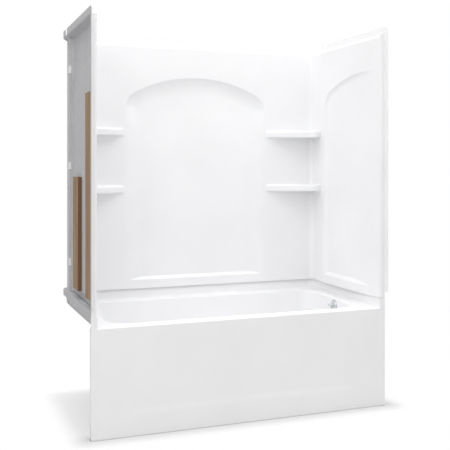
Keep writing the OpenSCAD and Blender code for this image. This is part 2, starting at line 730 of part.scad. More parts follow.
// Trip lever: outer arm, pivot, and inner arm whose tip lifts the rod
module trip_lever() color(chrome) home() at_overflow() translate([0, 0, pivot_z])
    rotate([0, lever_swing/2, 0]) {
        translate([-lever_h/2, -lever_w/2, 0]) cube([lever_h, lever_w, lever_out]);
        translate([0, 0, lever_out]) rotate([90, 0, 0])
            cylinder(r = 4.5, h = 2*lever_w, center = true);
        rotate([90, 0, 0]) cylinder(r = pivot_r, h = ear_gap + 2*ear_t, center = true);
        rotate([90, 0, 0]) cylinder(r = pivot_r + 2, h = lever_w, center = true);
        translate([-1.5, arm_side, -arm_len]) cube([3, arm_t, arm_len - ear_r - 0.4]);
        translate([-1.5, -lever_w/2, -ear_r - 3.4]) cube([3, arm_side + lever_w/2 + arm_t, 3]);
        translate([-1.5, -lever_w/2, -ear_r - 3.4]) cube([3, lever_w, ear_r + 3.4]);
        translate([0, arm_side + arm_t, -arm_len]) rotate([90, 0, 0])
            cylinder(r = tip_r, h = arm_side + arm_t + yoke_t/2 + 1);
    }

// Lifting rod with the slotted yoke that the lever's tip carries
module lifting_rod() color(brass) home() translate([tube_x, well_mid, 0]) {
    rotate([0, 0, end_turn]) difference() {
        translate([-yoke_w/2, -yoke_t/2, tip_z - yoke_h/2]) cube([yoke_w, yoke_t, yoke_h]);
        translate([-yoke_w/2 + 2, -yoke_t, tip_z - tip_r - tip_play])
            cube([yoke_w - 4, 2*yoke_t, 2*(tip_r + tip_play)]);
    }
    translate([0, 0, plunger_z + plunger_len - 3])
        cylinder(r = rod_r, h = tip_z - yoke_h/2 + 1 - plunger_z - plunger_len + 3);
}

// Hollow plunger with a spider that the rod screws into
module plunger() color(brass) home() translate([tube_x, well_mid, plunger_z]) {
    difference() {
        cylinder(r = plunger_r, h = plunger_len);
        translate([0, 0, -1]) cylinder(r = plunger_r - 2, h = plunger_len + 2);
    }
    difference() {
        union() {
            translate([0, 0, plunger_len - 10]) cylinder(r = rod_r + 3, h = 10);
            for (a = [0, 120, 240]) rotate([0, 0, a]) translate([0, -1, plunger_len - 10])
                cube([plunger_r - 1, 2, 8]);
        }
        translate([0, 0, plunger_len - 3]) cylinder(r = rod_r, h = 4);
    }
}

module overflow_gasket() color(rubber) home() at_overflow() translate([0, 0, -elbow_face]) difference() {
    cylinder(r = elbow_flange_r, h = rubber_t - 0.02);
    translate([0, 0, -1]) cylinder(r = overflow_hole_r, h = rubber_t + 2);
}

// Elbow behind the overflow, with a socket for the tube
module overflow_elbow() color(brass) home() difference() {
    union() {
        at_overflow() translate([0, 0, -elbow_face - elbow_flange_t])
            cylinder(r = elbow_flange_r, h = elbow_flange_t);
        at_overflow() translate([0, 0, -overflow_back]) cylinder(r = body_r, h = overflow_back - elbow_face);
        translate([tube_x, well_mid, elbow_foot_z]) cylinder(r = spigot_r, h = 26);
        translate([tube_x, well_mid, elbow_foot_z]) cylinder(r = body_r, h = overflow_z + 26 - elbow_foot_z);
    }
    at_overflow() translate([0, 0, -overflow_back]) cylinder(r = tube_in_r + 1, h = overflow_back);
    translate([tube_x, well_mid, elbow_foot_z - 1])
        cylinder(r = tube_in_r + 1, h = overflow_z + 22 - elbow_foot_z + 1);
    translate([tube_x, well_mid, elbow_foot_z - 1]) cylinder(r = socket_r, h = tube_seat + 1);
    at_overflow() for (s = [-1, 1]) translate([0, s*cover_screw_at, -elbow_face - elbow_flange_t - 5])
        cylinder(r = cover_screw_r + 0.05, h = elbow_flange_t + 6);
}

module tube(length) difference() {
    cylinder(r = tube_r, h = length);
    translate([0, 0, -1]) cylinder(r = tube_in_r, h = length + 2);
}
module overflow_tube() color(brass) home()
    translate([tube_x, well_mid, tee_top_z - tube_seat + 0.3])
        tube(elbow_foot_z - tee_top_z + 2*tube_seat - 0.6);
module waste_arm() color(brass) home() translate([arm_x0 + 0.3, well_mid, arm_z]) rotate([0, 90, 0])
    tube(arm_x1 - arm_x0 - 0.6);
module tailpiece() color(brass) home() translate([tube_x, well_mid, 0]) difference() {
    union() {
        translate([0, 0, tail_end_z]) cylinder(r = tube_r, h = tail_len);
        translate([0, 0, tail_neck_z - 1])
            cylinder(r = tube_r - tail_neck, h = tee_foot_z + foot_seat + 0.7 - tail_neck_z);
    }
    translate([0, 0, tail_end_z - 1]) cylinder(r = tube_in_r, h = tee_foot_z + foot_seat + 1 - tail_end_z);
}

// Tee with three sockets and the seat of the plunger
module waste_tee() color(brass) home() translate([tube_x, well_mid, 0]) difference() {
    union() {
        translate([0, 0, tee_foot_z]) cylinder(r = body_r, h = tee_top_z - tee_foot_z);
        translate([0, 0, tee_foot_z]) cylinder(r = spigot_r, h = tube_seat + 2);
        translate([0, 0, tee_top_z - tube_seat - 2]) cylinder(r = spigot_r, h = tube_seat + 2);
        translate([0, 0, arm_z]) rotate([0, -90, 0]) cylinder(r = body_r, h = tee_reach);
        translate([-tee_reach, 0, arm_z]) rotate([0, 90, 0]) cylinder(r = spigot_r, h = tube_seat + 2);
    }
    translate([0, 0, plunger_z - 0.3]) cylinder(r = tube_in_r, h = tee_top_z - plunger_z + 1);
    translate([0, 0, tee_foot_z - 1]) cylinder(r = seat_r, h = tee_top_z - tee_foot_z);
    translate([0, 0, tee_foot_z - 1]) cylinder(r = socket_r, h = foot_seat + 1);
    translate([0, 0, tee_top_z - tube_seat]) cylinder(r = socket_r, h = tube_seat + 1);
    translate([0, 0, arm_z]) rotate([0, -90, 0]) cylinder(r = tube_in_r, h = tee_reach + 1);
    translate([-tee_reach - 1, 0, arm_z]) rotate([0, 90, 0]) cylinder(r = socket_r, h = tube_seat + 1);
}

// Shoe under the drain, open upward and towards the tee
module drain_shoe() color(brass) home() translate([drain_x, well_mid, 0]) difference() {
    union() {
        translate([0, 0, shoe_top - shoe_flange_t]) cylinder(r = drain_flange_r, h = shoe_flange_t);
        translate([0, 0, arm_z]) cylinder(r = body_r + 1, h = shoe_top - arm_z - 1);
        translate([0, 0, arm_z]) sphere(r = body_r + 1);
        translate([0, 0, arm_z]) rotate([0, 90, 0]) cylinder(r = body_r, h = shoe_reach);
        translate([shoe_reach - tube_seat - 2, 0, arm_z]) rotate([0, 90, 0])
            cylinder(r = spigot_r, h = tube_seat + 2);
    }
    translate([0, 0, arm_z]) cylinder(r = shoe_thread_r + 0.2, h = shoe_top - arm_z + 1);
    translate([0, 0, arm_z]) sphere(r = tube_in_r);
    translate([0, 0, arm_z]) rotate([0, 90, 0]) cylinder(r = tube_in_r, h = shoe_reach + 1);
    translate([shoe_reach - tube_seat, 0, arm_z]) rotate([0, 90, 0])
        cylinder(r = socket_r, h = tube_seat + 1);
}

module shoe_gasket() color(rubber) home() translate([drain_x, well_mid, shoe_top]) difference() {
    cylinder(r = drain_flange_r, h = rubber_t);
    translate([0, 0, -1]) cylinder(r = shoe_thread_r + 1, h = rubber_t + 2);
}

// Drain flange with its threaded body and the cross that takes the strainer screw
module drain_flange() color(chrome) home() translate([drain_x, well_mid, 0]) {
    foot = shoe_top - 14;
    top = floor_z + 0.5;
    difference() {
        union() {
            translate([0, 0, top - drain_flange_t]) cylinder(r = drain_flange_r, h = drain_flange_t);
            translate([0, 0, foot]) cylinder(r = shoe_thread_r, h = top - foot - 1);
        }
        translate([0, 0, foot - 1]) cylinder(r = shoe_thread_r - 3, h = top - foot + 2);
        translate([0, 0, top - 2]) cylinder(r = drain_flange_r - 6, h = 3);
    }
    difference() {
        for (a = [0, 90]) rotate([0, 0, a]) translate([2 - shoe_thread_r, -1.5, foot + 4])
            cube([2*shoe_thread_r - 4, 3, 8]);
        translate([0, 0, foot]) cylinder(r = 2.2, h = 20);
    }
}

// Strainer dome with a ring of holes
module drain_strainer() color(chrome) home() translate([drain_x, well_mid, floor_z - 1.4]) difference() {
    cylinder(r = drain_flange_r - 6.4, h = 1.8);
    for (ring = [[8, 9], [12, 15], [16, 21]]) for (i = [0:ring[0] - 1])
        rotate([0, 0, 360*i/ring[0]]) translate([ring[1], 0, -1]) cylinder(r = 2, h = 4);
    translate([0, 0, -1]) cylinder(r = 2.3, h = 4);
}
module strainer_screw() color(chrome) home() translate([drain_x, well_mid, 0]) {
    translate([0, 0, floor_z + 0.4]) cylinder(r = 4, h = 1.6);
    translate([0, 0, shoe_top - 12]) cylinder(r = 2.1, h = floor_z + 1 - shoe_top + 12);
}

// Slip joints: each runs from the end of a spigot outward along its tube
module slip_places() translate([tube_x, well_mid, 0]) {
    translate([0, 0, elbow_foot_z]) rotate([180, 0, 0]) children();
    translate([0, 0, tee_top_z]) children();
    translate([0, 0, tee_foot_z]) rotate([180, 0, 0]) children();
    translate([-tee_reach, 0, arm_z]) rotate([0, -90, 0]) children();
    translate([drain_x + shoe_reach - tube_x, 0, arm_z]) rotate([0, 90, 0]) children();
}
module slip_nuts() color(chrome) home() slip_places() difference() {
    translate([0, 0, -slip_nut_half]) cylinder(d = nut_af/cos(30), h = 2*slip_nut_half, $fn = 6);
    translate([0, 0, -slip_nut_half - 1])
        cylinder(r = spigot_r + 0.1, h = slip_nut_half + slip_washer_t + 1.2);
    cylinder(r = tube_r + 0.3, h = slip_nut_half + 1);
}
module slip_washers() color(rubber) home() slip_places() difference() {
    cylinder(r = spigot_r - 0.1, h = slip_washer_t);
    translate([0, 0, -1]) cylinder(r = tube_r + 0.05, h = slip_washer_t + 2);
}

bath();
back_wall();
left_end_wall();
right_end_wall();
left_joint_clips();
right_joint_clips();
left_tall_board();
left_short_board();
right_tall_board();
right_short_board();
lower_back_board();
upper_back_board();
base_board();
left_runner();
middle_runner();
right_runner();
overflow_cover();
cover_screws();
trip_lever();
lifting_rod();
plunger();
overflow_gasket();
overflow_elbow();
overflow_tube();
waste_tee();
waste_arm();
drain_shoe();
shoe_gasket();
drain_flange();
drain_strainer();
strainer_screw();
tailpiece();
slip_nuts();
slip_washers();
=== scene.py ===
import math

import bmesh
import bpy
import numpy as np
from mathutils import Matrix, Vector
from mathutils.geometry import delaunay_2d_cdt


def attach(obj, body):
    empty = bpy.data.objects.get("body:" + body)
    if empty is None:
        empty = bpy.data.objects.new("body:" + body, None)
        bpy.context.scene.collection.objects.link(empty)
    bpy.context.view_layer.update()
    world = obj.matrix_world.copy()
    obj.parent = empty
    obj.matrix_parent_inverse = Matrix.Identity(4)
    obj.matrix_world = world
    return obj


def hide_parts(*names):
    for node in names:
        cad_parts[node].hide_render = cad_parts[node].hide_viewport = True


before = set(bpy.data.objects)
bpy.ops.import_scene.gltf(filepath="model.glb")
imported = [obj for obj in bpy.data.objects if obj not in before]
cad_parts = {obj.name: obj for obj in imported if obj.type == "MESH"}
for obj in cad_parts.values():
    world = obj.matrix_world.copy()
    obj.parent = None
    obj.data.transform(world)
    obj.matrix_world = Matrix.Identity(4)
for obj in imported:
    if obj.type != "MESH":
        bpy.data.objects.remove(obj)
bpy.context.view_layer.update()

# A tub and shower unit for an alcove: a bath with an apron, a back wall that turns round two coves,
# and two end walls. The sizes are millimetres in the unit's own planes: x from its middle, y from
# the apron's face to the back, z from the floor. On a wall, u is the distance behind its face.
MM = 0.001
MID_Y = 394.0  # from the apron's face to the middle of the row frame
HALF = 762.0  # half the length of the bath
WALL_X = 734.0  # face of an end wall
WALL_Y = 785.0  # face of the back wall
COVE = 30.0  # radius between the two
RIM = 505.0  # deck of the bath
WELL_DEPTH = 356.0
FLOOR = RIM - WELL_DEPTH
SILL = RIM + 51.0  # top of the bath's upstand
TOP = 1960.0  # top of the nailing flanges
SEAM = 655.0  # joint of the back wall and an end wall
SEAM_HALF = 0.25  # half the play in it
SKIN = 4.0  # thickness of the walls
SHELL = 5.0  # thickness of the bath
SKIN_FOOT = SILL + 0.3
SKIN_HEAD = 1800.0  # where a wall's flat rows end and its run into the ledge starts
FLANGE_U = 27.0  # nailing flanges and what leads to them
LEDGE_LOW = 1908.0
LEDGE_HIGH = 1926.0
LOW_LEDGE = 581.0  # ledge outside the foot of the walls
LIP_U = 31.0
LIP_FOOT = 549.0  # the ledge's lip hangs to here beside the back wall
LIP_FOOT_FRONT = 537.0  # and to here ahead of the step
LIP_STEP_Y = 545.0
FLANGE_FRONT = -28.0  # side flange of an end wall
FLANGE_FOOT = 588.0
FLANGE_R = 18.0
WELL_MID = 386.0  # middle of the well, front to back
DRAIN_X = 483.0
OVERFLOW = (669.53, 388.71, 450.0)  # the overflow's middle, on the slope of the well's end
END_LEAN = 4.817  # lean and turn of that slope, in degrees
END_TURN = -3.4516


# Mesh tools
def to_row(points):
    """Millimetres in the unit's own planes to metres in the row frame."""
    p = np.asarray(points, float).reshape(-1, 3) * MM
    p[:, 1] -= MID_Y * MM
    return p


def arc_corner(before, corner, after, radius, steps):
    """Points of the arc that rounds one corner of a path in a plane."""
    p, a, b = (np.array(v, float) for v in (corner, before, after))
    ua, ub = (a - p) / np.linalg.norm(a - p), (b - p) / np.linalg.norm(b - p)
    cosine = float(np.clip(ua @ ub, -1, 1))
    if cosine < -0.9999 or radius <= 0:
        return [tuple(p)]
    half_tan = math.sqrt((1 - cosine) / (1 + cosine))
    half_sin = math.sqrt((1 - cosine) / 2)
    middle = p + (ua + ub) / np.linalg.norm(ua + ub) * radius / half_sin
    first, last = p + ua * radius / half_tan - middle, p + ub * radius / half_tan - middle
    start = math.atan2(first[1], first[0])
    sweep = math.atan2(last[1], last[0]) - start
    sweep = (sweep + math.pi) % (2 * math.pi) - math.pi
    turns = [start + sweep * k / steps for k in range(steps + 1)]
    return [tuple(middle + radius * np.array((math.cos(t), math.sin(t)))) for t in turns]


def rounded_path(points, radii, steps, closed=False):
    """A path whose corners are rounded by arcs."""
    out, n = [], len(points)
    for i, p in enumerate(points):
        if not closed and i in (0, n - 1):
            out.append(tuple(map(float, p)))
        else:
            out += arc_corner(points[i - 1], p, points[(i + 1) % n], radii[i], steps)
    return out


def quarter(r, steps):
    """A quarter turn of radius r from (0, r) to (r, 0), round (r, r)."""
    turns = np.linspace(0, math.pi / 2, steps + 1)
    return [(r * (1 - math.cos(a)), r * (1 - math.sin(a))) for a in turns]


def inside_loop(p, loop):
    """Whether a point of a plane lies inside a closed outline."""
    hit = False
    for (x0, y0), (x1, y1) in zip(loop, loop[1:] + loop[:1]):
        if (y0 > p[1]) != (y1 > p[1]) and p[0] < x0 + (p[1] - y0) * (x1 - x0) / (y1 - y0):
            hit = not hit
    return hit


class Sheet:
    """A moulded sheet, gathered from grids and flat patches and then given its thickness."""

    def __init__(self):
        self.points = []
        self.faces = []

    def grid(self, rows, closed=False, keep=None):
        """Quads between rows that have equal counts of points."""
        base, wide = len(self.points), len(rows[0])
        for row in rows:
            self.points += [tuple(p) for p in row]
        for r in range(len(rows) - 1):
            for c in range(wide if closed else wide - 1):
                if keep is None or keep(r, c):
                    d = (c + 1) % wide
                    self.faces.append((base + r * wide + c, base + r * wide + d,
                                       base + (r + 1) * wide + d, base + (r + 1) * wide + c))

    def flat(self, loops, lift, spread=0.0):
        """A patch between an outer loop and its holes; lift turns a point of the plane to space.

        With a spread, the patch also has points of its own at about that distance.
        """
        loops = [[tuple(map(float, p)) for p in loop] for loop in loops]
        points, edges = [], []
        for loop in loops:
            base = len(points)
            points += loop
            edges += [(base + i, base + (i + 1) % len(loop)) for i in range(len(loop))]
        if spread:
            rim = np.array(points)
            low, high = rim.min(0), rim.max(0)
            steps = np.maximum(2, np.ceil((high - low) / spread).astype(int))
            for a in np.linspace(low[0], high[0], steps[0] + 1)[1:-1]:
                for b in np.linspace(low[1], high[1], steps[1] + 1)[1:-1]:
                    if np.hypot(rim[:, 0] - a, rim[:, 1] - b).min() > spread * 0.3:
                        if sum(inside_loop((a, b), loop) for loop in loops) % 2:
                            points.append((float(a), float(b)))
        found = delaunay_2d_cdt([Vector(p) for p in points], edges, [], 1, 1e-5, False)
        co, tris = found[0], found[2]
        base = len(self.points)
        self.points += [tuple(lift(p[0], p[1])) for p in co]
        for tri in tris:
            middle = sum((co[i] for i in tri), Vector((0, 0))) / len(tri)
            if sum(inside_loop(middle, loop) for loop in loops) % 2:
                self.faces.append(tuple(base + i for i in tri))

    def mirrored(self):
        """Adds the same sheet on the other side of the middle plane."""
        base = len(self.points)
        self.points += [(-x, y, z) for x, y, z in self.points]
        self.faces += [tuple(base + i for i in reversed(f)) for f in list(self.faces)]

    def mesh(self, name, facing):
        """The sheet's mesh; facing is the place and direction of a face on the show side."""
        me = bpy.data.meshes.new(name)
        me.from_pydata([tuple(p) for p in to_row(self.points)], [], self.faces)
        bm = bmesh.new()
        bm.from_mesh(me)
        bmesh.ops.remove_doubles(bm, verts=bm.verts, dist=0.00002)
        bmesh.ops.dissolve_degenerate(bm, edges=bm.edges, dist=0.00002)
        bmesh.ops.recalc_face_normals(bm, faces=bm.faces)
        near = Vector(to_row([facing[0]])[0])
        closest = min(bm.faces, key=lambda f: (f.calc_center_median() - near).length)
        if closest.normal.dot(Vector(facing[1])) < 0:
            bmesh.ops.reverse_faces(bm, faces=bm.faces)
        bm.to_mesh(me)
        bm.free()
        return me


def link(name, data):
    """A new object of the scene for a mesh, a lamp or a camera."""
    o = bpy.data.objects.new(name, data)
    bpy.context.scene.collection.objects.link(o)
    return o


def baked(o):
    """Turns the modifiers of an object into its own plain mesh."""
    bpy.context.view_layer.update()
    evaluated = o.evaluated_get(bpy.context.evaluated_depsgraph_get())
    result = bpy.data.meshes.new_from_object(evaluated)
    result.name = o.name
    o.modifiers.clear()
    o.data = result
    return o


def sharp_and_weighted(o, angle=32.0):
    """Edges that turn more than the angle stay sharp; flat faces shade flat up to their fillets."""
    bm = bmesh.new()
    bm.from_mesh(o.data)
    for e in bm.edges:
        e.smooth = len(e.link_faces) == 2 and e.calc_face_angle(0) < math.radians(angle)
    for f in bm.faces:
        f.smooth = True
    bm.to_mesh(o.data)
    bm.free()
    weighted = o.modifiers.new("weighted", "WEIGHTED_NORMAL")
    weighted.keep_sharp = True
    weighted.mode = "FACE_AREA"
    weighted.weight = 90
    return baked(o)


def moulded(name, sheet, facing, thickness, materials):
    """A sheet with its thickness behind the show side; materials are (show side, back)."""
    o = link(name, sheet.mesh(name, facing))
    for m in materials:
        o.data.materials.append(m)
    solid = o.modifiers.new("thickness", "SOLIDIFY")
    solid.thickness = thickness * MM
    solid.offset = -1
    solid.use_even_offset = True
    solid.use_quality_normals = True
    solid.thickness_clamp = 0
    solid.material_offset = len(materials) - 1
    solid.material_offset_rim = 0
    return sharp_and_weighted(baked(o))


def joined(name, objects):
    """One object from several."""
    target = objects[0]
    with bpy.context.temp_override(active_object=target, object=target,
                                   selected_objects=objects, selected_editable_objects=objects):
        bpy.ops.object.join()
    target.name = target.data.name = name
    return target


# Materials
class Value:
    """A node's output that takes part in plain arithmetic."""

    def __init__(self, nodes, socket):
        self.nodes = nodes
        self.socket = socket

    def __getitem__(self, output):
        """Another output of the same node."""
        return Value(self.nodes, self.socket.node.outputs[output])

    def _math(self, operation, *values):
        return self.nodes.add("Math", {"operation": operation}, dict(enumerate(values)))

    def __add__(self, other):
        return self._math("ADD", self, other)

    def __sub__(self, other):
        return self._math("SUBTRACT", self, other)

    def __rsub__(self, other):
        return self._math("SUBTRACT", other, self)

    def __mul__(self, other):
        return self._math("MULTIPLY", self, other)

    __radd__ = __add__
    __rmul__ = __mul__

    def above(self, other):
        return self._math("GREATER_THAN", self, other)

    def larger(self, other):
        return self._math("MAXIMUM", self, other)

    def wave(self):
        return self._math("SINE", self)

    def held(self):
        """Clamped to 0..1."""
        return self._math("MINIMUM", self.larger(0.0), 1.0)


class Nodes:
    """A node tree and the one way in which nodes are added to it."""

    def __init__(self, tree):
        self.tree = tree

    def add(self, kind, settings=None, inputs=None):
        """A node of a type, with its settings made first and its inputs fed by name or number.

        A shader node's type has no prefix. Returns the first output, or None where there is none.
        """
        node = self.tree.nodes.new(kind if "Node" in kind else "ShaderNode" + kind)
        for key, value in (settings or {}).items():
            if key == "stops":
                self.set_stops(node.color_ramp.elements, value)
            else:
                setattr(node, key, value)
        for key, value in (inputs or {}).items():
            self.feed(node.inputs[key], value)
        return Value(self, node.outputs[0]) if node.outputs else None

    def set_stops(self, elements, stops):
        while len(elements) < len(stops):
            elements.new(0.5)
        for element, (position, colour) in zip(elements, stops):
            element.position = position
            element.color = (*colour, 1)

    def feed(self, socket, value):
        """Links or sets a socket; a list links each of its values to one socket."""
        if isinstance(value, list):
            for one in value:
                self.feed(socket, one)
        elif isinstance(value, Value):
            self.tree.links.new(value.socket, socket)
        elif socket.type == "RGBA":
            socket.default_value = (*value, 1)
        else:
            socket.default_value = value


class Finish(Nodes):
    """The nodes of one material, round its shader."""

    def __init__(self, name, **constants):
        self.material = bpy.data.materials.new(name)
        self.material.use_nodes = True
        super().__init__(self.material.node_tree)
        self.shader = self.tree.nodes["Principled BSDF"]
        for socket, value in constants.items():
            self.shader.inputs[socket.replace("_", " ")].default_value = value
        spot = self.add("TexCoord")
        self.place, self.facing = spot["Object"], spot["Normal"]

    def noise(self, scale, detail=2.0, roughness=0.5, stretch=(1, 1, 1)):
        spread = self.add("Mapping", inputs={"Vector": self.place, "Scale": stretch})
        return self.add("TexNoise", inputs={"Vector": spread, "Scale": scale, "Detail": detail,
                                            "Roughness": roughness})

    def along(self, vector, letter):
        """One component of a vector."""
        return self.add("SeparateXYZ", inputs={0: vector})[letter]

    def colours(self, factor, *stops):
        """A colour that runs through the stops (position, colour as srgb takes it)."""
        stops = [(position, srgb(*colour)) for position, colour in stops]
        return self.add("ValToRGB", {"stops": stops}, {0: factor})

    def blend(self, factor, first, second):
        return self.add("Mix", {"data_type": "RGBA"}, {0: factor, 6: first, 7: second})[2]

    def bump(self, height, strength, distance):
        normal = self.add("Bump", inputs={"Height": height, "Strength": strength,
                                          "Distance": distance})
        self.feed(self.shader.inputs["Normal"], normal)

    def colour(self, value):
        self.feed(self.shader.inputs["Base Color"], value)

    def roughness(self, value):
        self.feed(self.shader.inputs["Roughness"], value)


def srgb(r, g, b):
    """A colour as the eye names it, 0 to 255, in the shader's own scale."""
    return tuple(((v / 255 + 0.055) / 1.055) ** 2.4 for v in (r, g, b))


def gel_coat():
    f = Finish("white_gel_coat", Coat_Weight=0.3, Coat_Roughness=0.3, IOR=1.48)
    cloud = f.noise(3.0, 3.0)
    f.colour(f.colours(cloud, (0.3, (243, 243, 244)), (0.7, (247, 247, 248))))
    f.roughness(f.noise(9.0) * 0.1 + 0.32)
    f.bump(f.noise(160.0, 1.0), 0.05, 0.0004)
    return f.material


def raw_laminate_with_shade():
    f = Finish("raw_laminate_back_painted_shade")
    strands = f.noise(38.0, 5.0, 0.7, (1, 1, 0.45))
    speckle = f.noise(260.0)
    # Painted shade in part: the back is a pale grey laminate, and this grey is darker still,
    # standing for the shade on the unit's outer sides.
    tone = f.colours(strands, (0.32, (178, 178, 181)), (0.5, (188, 188, 190)),
                     (0.68, (198, 198, 199)))
    f.colour(f.blend(speckle * 0.25, tone, srgb(160, 160, 163)))
    f.roughness(strands * 0.25 + 0.5)
    f.bump(strands * 0.6 + speckle * 0.4, 0.35, 0.0015)
    return f.material


def plywood(name, letter, stretch):
    """Raw plywood whose veneers lie across one axis: grain on its faces, layers on its edges."""
    f = Finish(name, Specular_IOR_Level=0.22)
    fibre = f.noise(55.0, 6.0, 0.75, stretch)
    band = f.noise(9.0, 2.0, 0.5, stretch)
    tone = f.colours(band, (0.3, (143, 114, 87)), (0.5, (158, 129, 99)), (0.7, (173, 144, 113)))
    face = f.blend((fibre - 0.35) * 1.3, tone, srgb(118, 90, 66))
    ripple = f.noise(25.0, 3.0)
    layer = ((f.along(f.place, letter) * 1450.0 + ripple * 1.4).wave() * 0.5 + 0.5).held()
    dark = f.blend(fibre, srgb(88, 62, 42), srgb(108, 78, 54))
    pale = f.blend(fibre, srgb(126, 97, 70), srgb(142, 112, 83))
    facing = f.along(f.facing, letter)
    f.colour(f.blend((facing * facing).above(0.5), f.blend(layer, dark, pale), face))
    f.roughness(fibre * 0.2 + 0.62)
    f.bump(fibre, 0.4, 0.0008)
    return f.material


def sawn_softwood():
    f = Finish("sawn_softwood", Specular_IOR_Level=0.25)
    grain = f.noise(16.0, 6.0, 0.7, (5, 0.5, 5))
    fine = f.noise(130.0, 3.0, 0.6, (3, 0.4, 3))
    f.colour(f.colours(grain, (0.3, (196, 164, 118)), (0.5, (214, 184, 138)),
                       (0.7, (176, 140, 96))))
    f.roughness(fine * 0.2 + 0.6)
    f.bump(fine * 0.5 + grain * 0.5, 0.4, 0.001)
    return f.material


def polished_chrome():
    f = Finish("polished_chrome", Metallic=1.0)
    haze = f.noise(45.0, 3.0)
    f.colour(f.colours(haze, (0.3, (206, 208, 211)), (0.7, (222, 223, 225))))
    f.roughness(haze * 0.12 + 0.2)
    return f.material


def drawn_brass():
    f = Finish("drawn_brass", Metallic=1.0)
    dulling = f.noise(22.0, 4.0, 0.6)
    f.colour(f.colours(dulling, (0.3, (168, 128, 66)), (0.55, (196, 158, 92)),
                       (0.8, (140, 108, 66))))
    f.roughness(dulling * 0.3 + 0.2)
    f.bump(f.noise(240.0, 2.0, 0.5, (1, 1, 0.1)), 0.1, 0.0004)
    return f.material


def black_rubber():
    f = Finish("black_rubber", Specular_IOR_Level=0.35)
    bloom = f.noise(60.0, 3.0)
    f.colour(f.colours(bloom, (0.3, (34, 34, 35)), (0.7, (52, 52, 53))))
    f.roughness(bloom * 0.2 + 0.6)
    f.bump(f.noise(300.0), 0.2, 0.0004)
    return f.material


def white_nylon():
    f = Finish("white_nylon")
    cloud = f.noise(70.0)
    f.colour(f.colours(cloud, (0.3, (240, 241, 242)), (0.7, (247, 248, 248))))
    f.roughness(cloud * 0.15 + 0.4)
    f.bump(f.noise(200.0, 1.0), 0.1, 0.0003)
    return f.material


GEL = gel_coat()
# Back finish of the mouldings: raw laminate grey with painted shade in it.
SHADED_LAMINATE = raw_laminate_with_shade()
END_PLY = plywood("end_board_plywood", "X", (3, 3, 0.35))
BACK_PLY = plywood("back_board_plywood", "Y", (0.35, 3, 3))
BASE_PLY = plywood("base_board_plywood", "Z", (0.35, 3, 3))
SOFTWOOD = sawn_softwood()
CHROME = polished_chrome()
BRASS = drawn_brass()
RUBBER = black_rubber()
NYLON = white_nylon()


# Shared profiles
def ledge_rows():
    """(u, z) of a wall's last stretch, the sloping ledge and the flange above it."""
    corners = [(0.0, SKIN_HEAD), (0.0, LEDGE_LOW), (FLANGE_U, LEDGE_HIGH), (FLANGE_U, TOP)]
    return rounded_path(corners, [0, 7, 5, 0], 4)


def eased(t):
    """A share between 0 and 1 that starts and ends gently."""
    t = min(1.0, max(0.0, t))
    return t * t * (3 - 2 * t)


def recess_depth(t, sill, crown):
    """Share of a recess's depth at share t of its slope.

    It falls evenly from the sill, steeply under the crown and gently beside the legs.
    """
    steep = 1 - (1 - t) ** 2.5
    return sill * t + (1 - sill) * (crown * steep + (1 - crown) * eased(t))


# Back wall
PLATE_HALF = 424.0  # half of the flat middle
ARCH_CROWN = 1745.0  # crown and sill of all three recesses
ARCH_SILL = SILL + 48.0
BACK_ARCH = (419.5, 788.0, 104.0)  # half its span, radius of its crown, radius of its shoulders
BACK_RECESS = 12.0
CROWN_DEEPER = 10.0  # added to the recess's depth at the crown
DEEPER_FROM = 1320.0
DEEPER_OVER = 330.0
BACK_SLOPE = 94.0  # width of the slope inside the arch, less than its shoulders' radius
SILL_RUN = 17.0
SLOPE_STEPS = (0.0, 0.03, 0.08, 0.15, 0.24, 0.35, 0.48, 0.62, 0.76, 0.89, 0.97, 1.0)
SHELF_LEN = 308.5
SHELF_T = 37.0
SHELF_TOPS = (1128.0, 1446.0)
SHELF_BLUNT = 40.0  # width of the shelf's blunt end
SHELF_END = 668.0  # its depth there and where it meets the end of the wall
SHELF_STOP = 666.0
FLANGE_START = 680.0
LEVELS_LOW = (SKIN_FOOT, SKIN_FOOT + 10, 640, 720, 800, 900, 1000, 1060)  # rows below the shelves,
LEVELS_MID = (1160, 1230, 1300, 1370)  # between them
LEVELS_HIGH = (1480, 1560, 1640, 1720, SKIN_HEAD)  # and above them


def cove_columns():
    """Columns of the right half of the back wall, from the plate round the cove to the seam."""
    backs = [PLATE_HALF, WALL_X - SHELF_LEN, *np.linspace(431, WALL_X - COVE, 26)]
    sides = (755, 745, 735, 725, 715, 705, 695, 690, 685, FLANGE_START, 675, 670, 666, 663, 660.25)
    return ([("back", x) for x in backs] + [("cove", k / 16) for k in range(1, 16)]
            + [("side", y) for y in sides])


def wall_point(column, u):
    """Point of the plan at distance u behind the face of the walls."""
    kind, at = column
    if kind == "back":
        return at, WALL_Y + u
    if kind == "side":
        return WALL_X + u, at
    angle = at * math.pi / 2
    return (WALL_X - COVE + (COVE + u) * math.sin(angle),
            WALL_Y - COVE + (COVE + u) * math.cos(angle))


def shelf_front(columns):
    """For each column the point of the shelf's front edge, or None beyond the shelf."""
    tip = (WALL_X - SHELF_LEN, WALL_Y)
    blunt = (WALL_X - SHELF_BLUNT, SHELF_END)
    path = [(tip[0] + (blunt[0] - tip[0]) * k / 15, tip[1] + (blunt[1] - tip[1]) * k / 15)
            for k in range(15)]
    path += arc_corner(path[-1], blunt, (WALL_X, SHELF_STOP), 24.0, 8)
    path = np.array(path + [(WALL_X, SHELF_STOP)])
    walk = np.concatenate([[0], np.cumsum(np.linalg.norm(np.diff(path, axis=0), axis=1))])
    inside = [i for i, (kind, at) in enumerate(columns)
              if kind == "cove" or at >= {"back": tip[0], "side": SHELF_STOP}[kind]]
    wall = np.array([wall_point(columns[i], 0) for i in inside])
    wall_walk = np.concatenate([[0], np.cumsum(np.linalg.norm(np.diff(wall, axis=0), axis=1))])
    wall_walk /= wall_walk[-1]
    share = wall_walk ** 0.93
    fronts = [None] * len(columns)
    for i, s in zip(inside, share * walk[-1]):
        fronts[i] = (np.interp(s, walk, path[:, 0]), np.interp(s, walk, path[:, 1]))
    return fronts


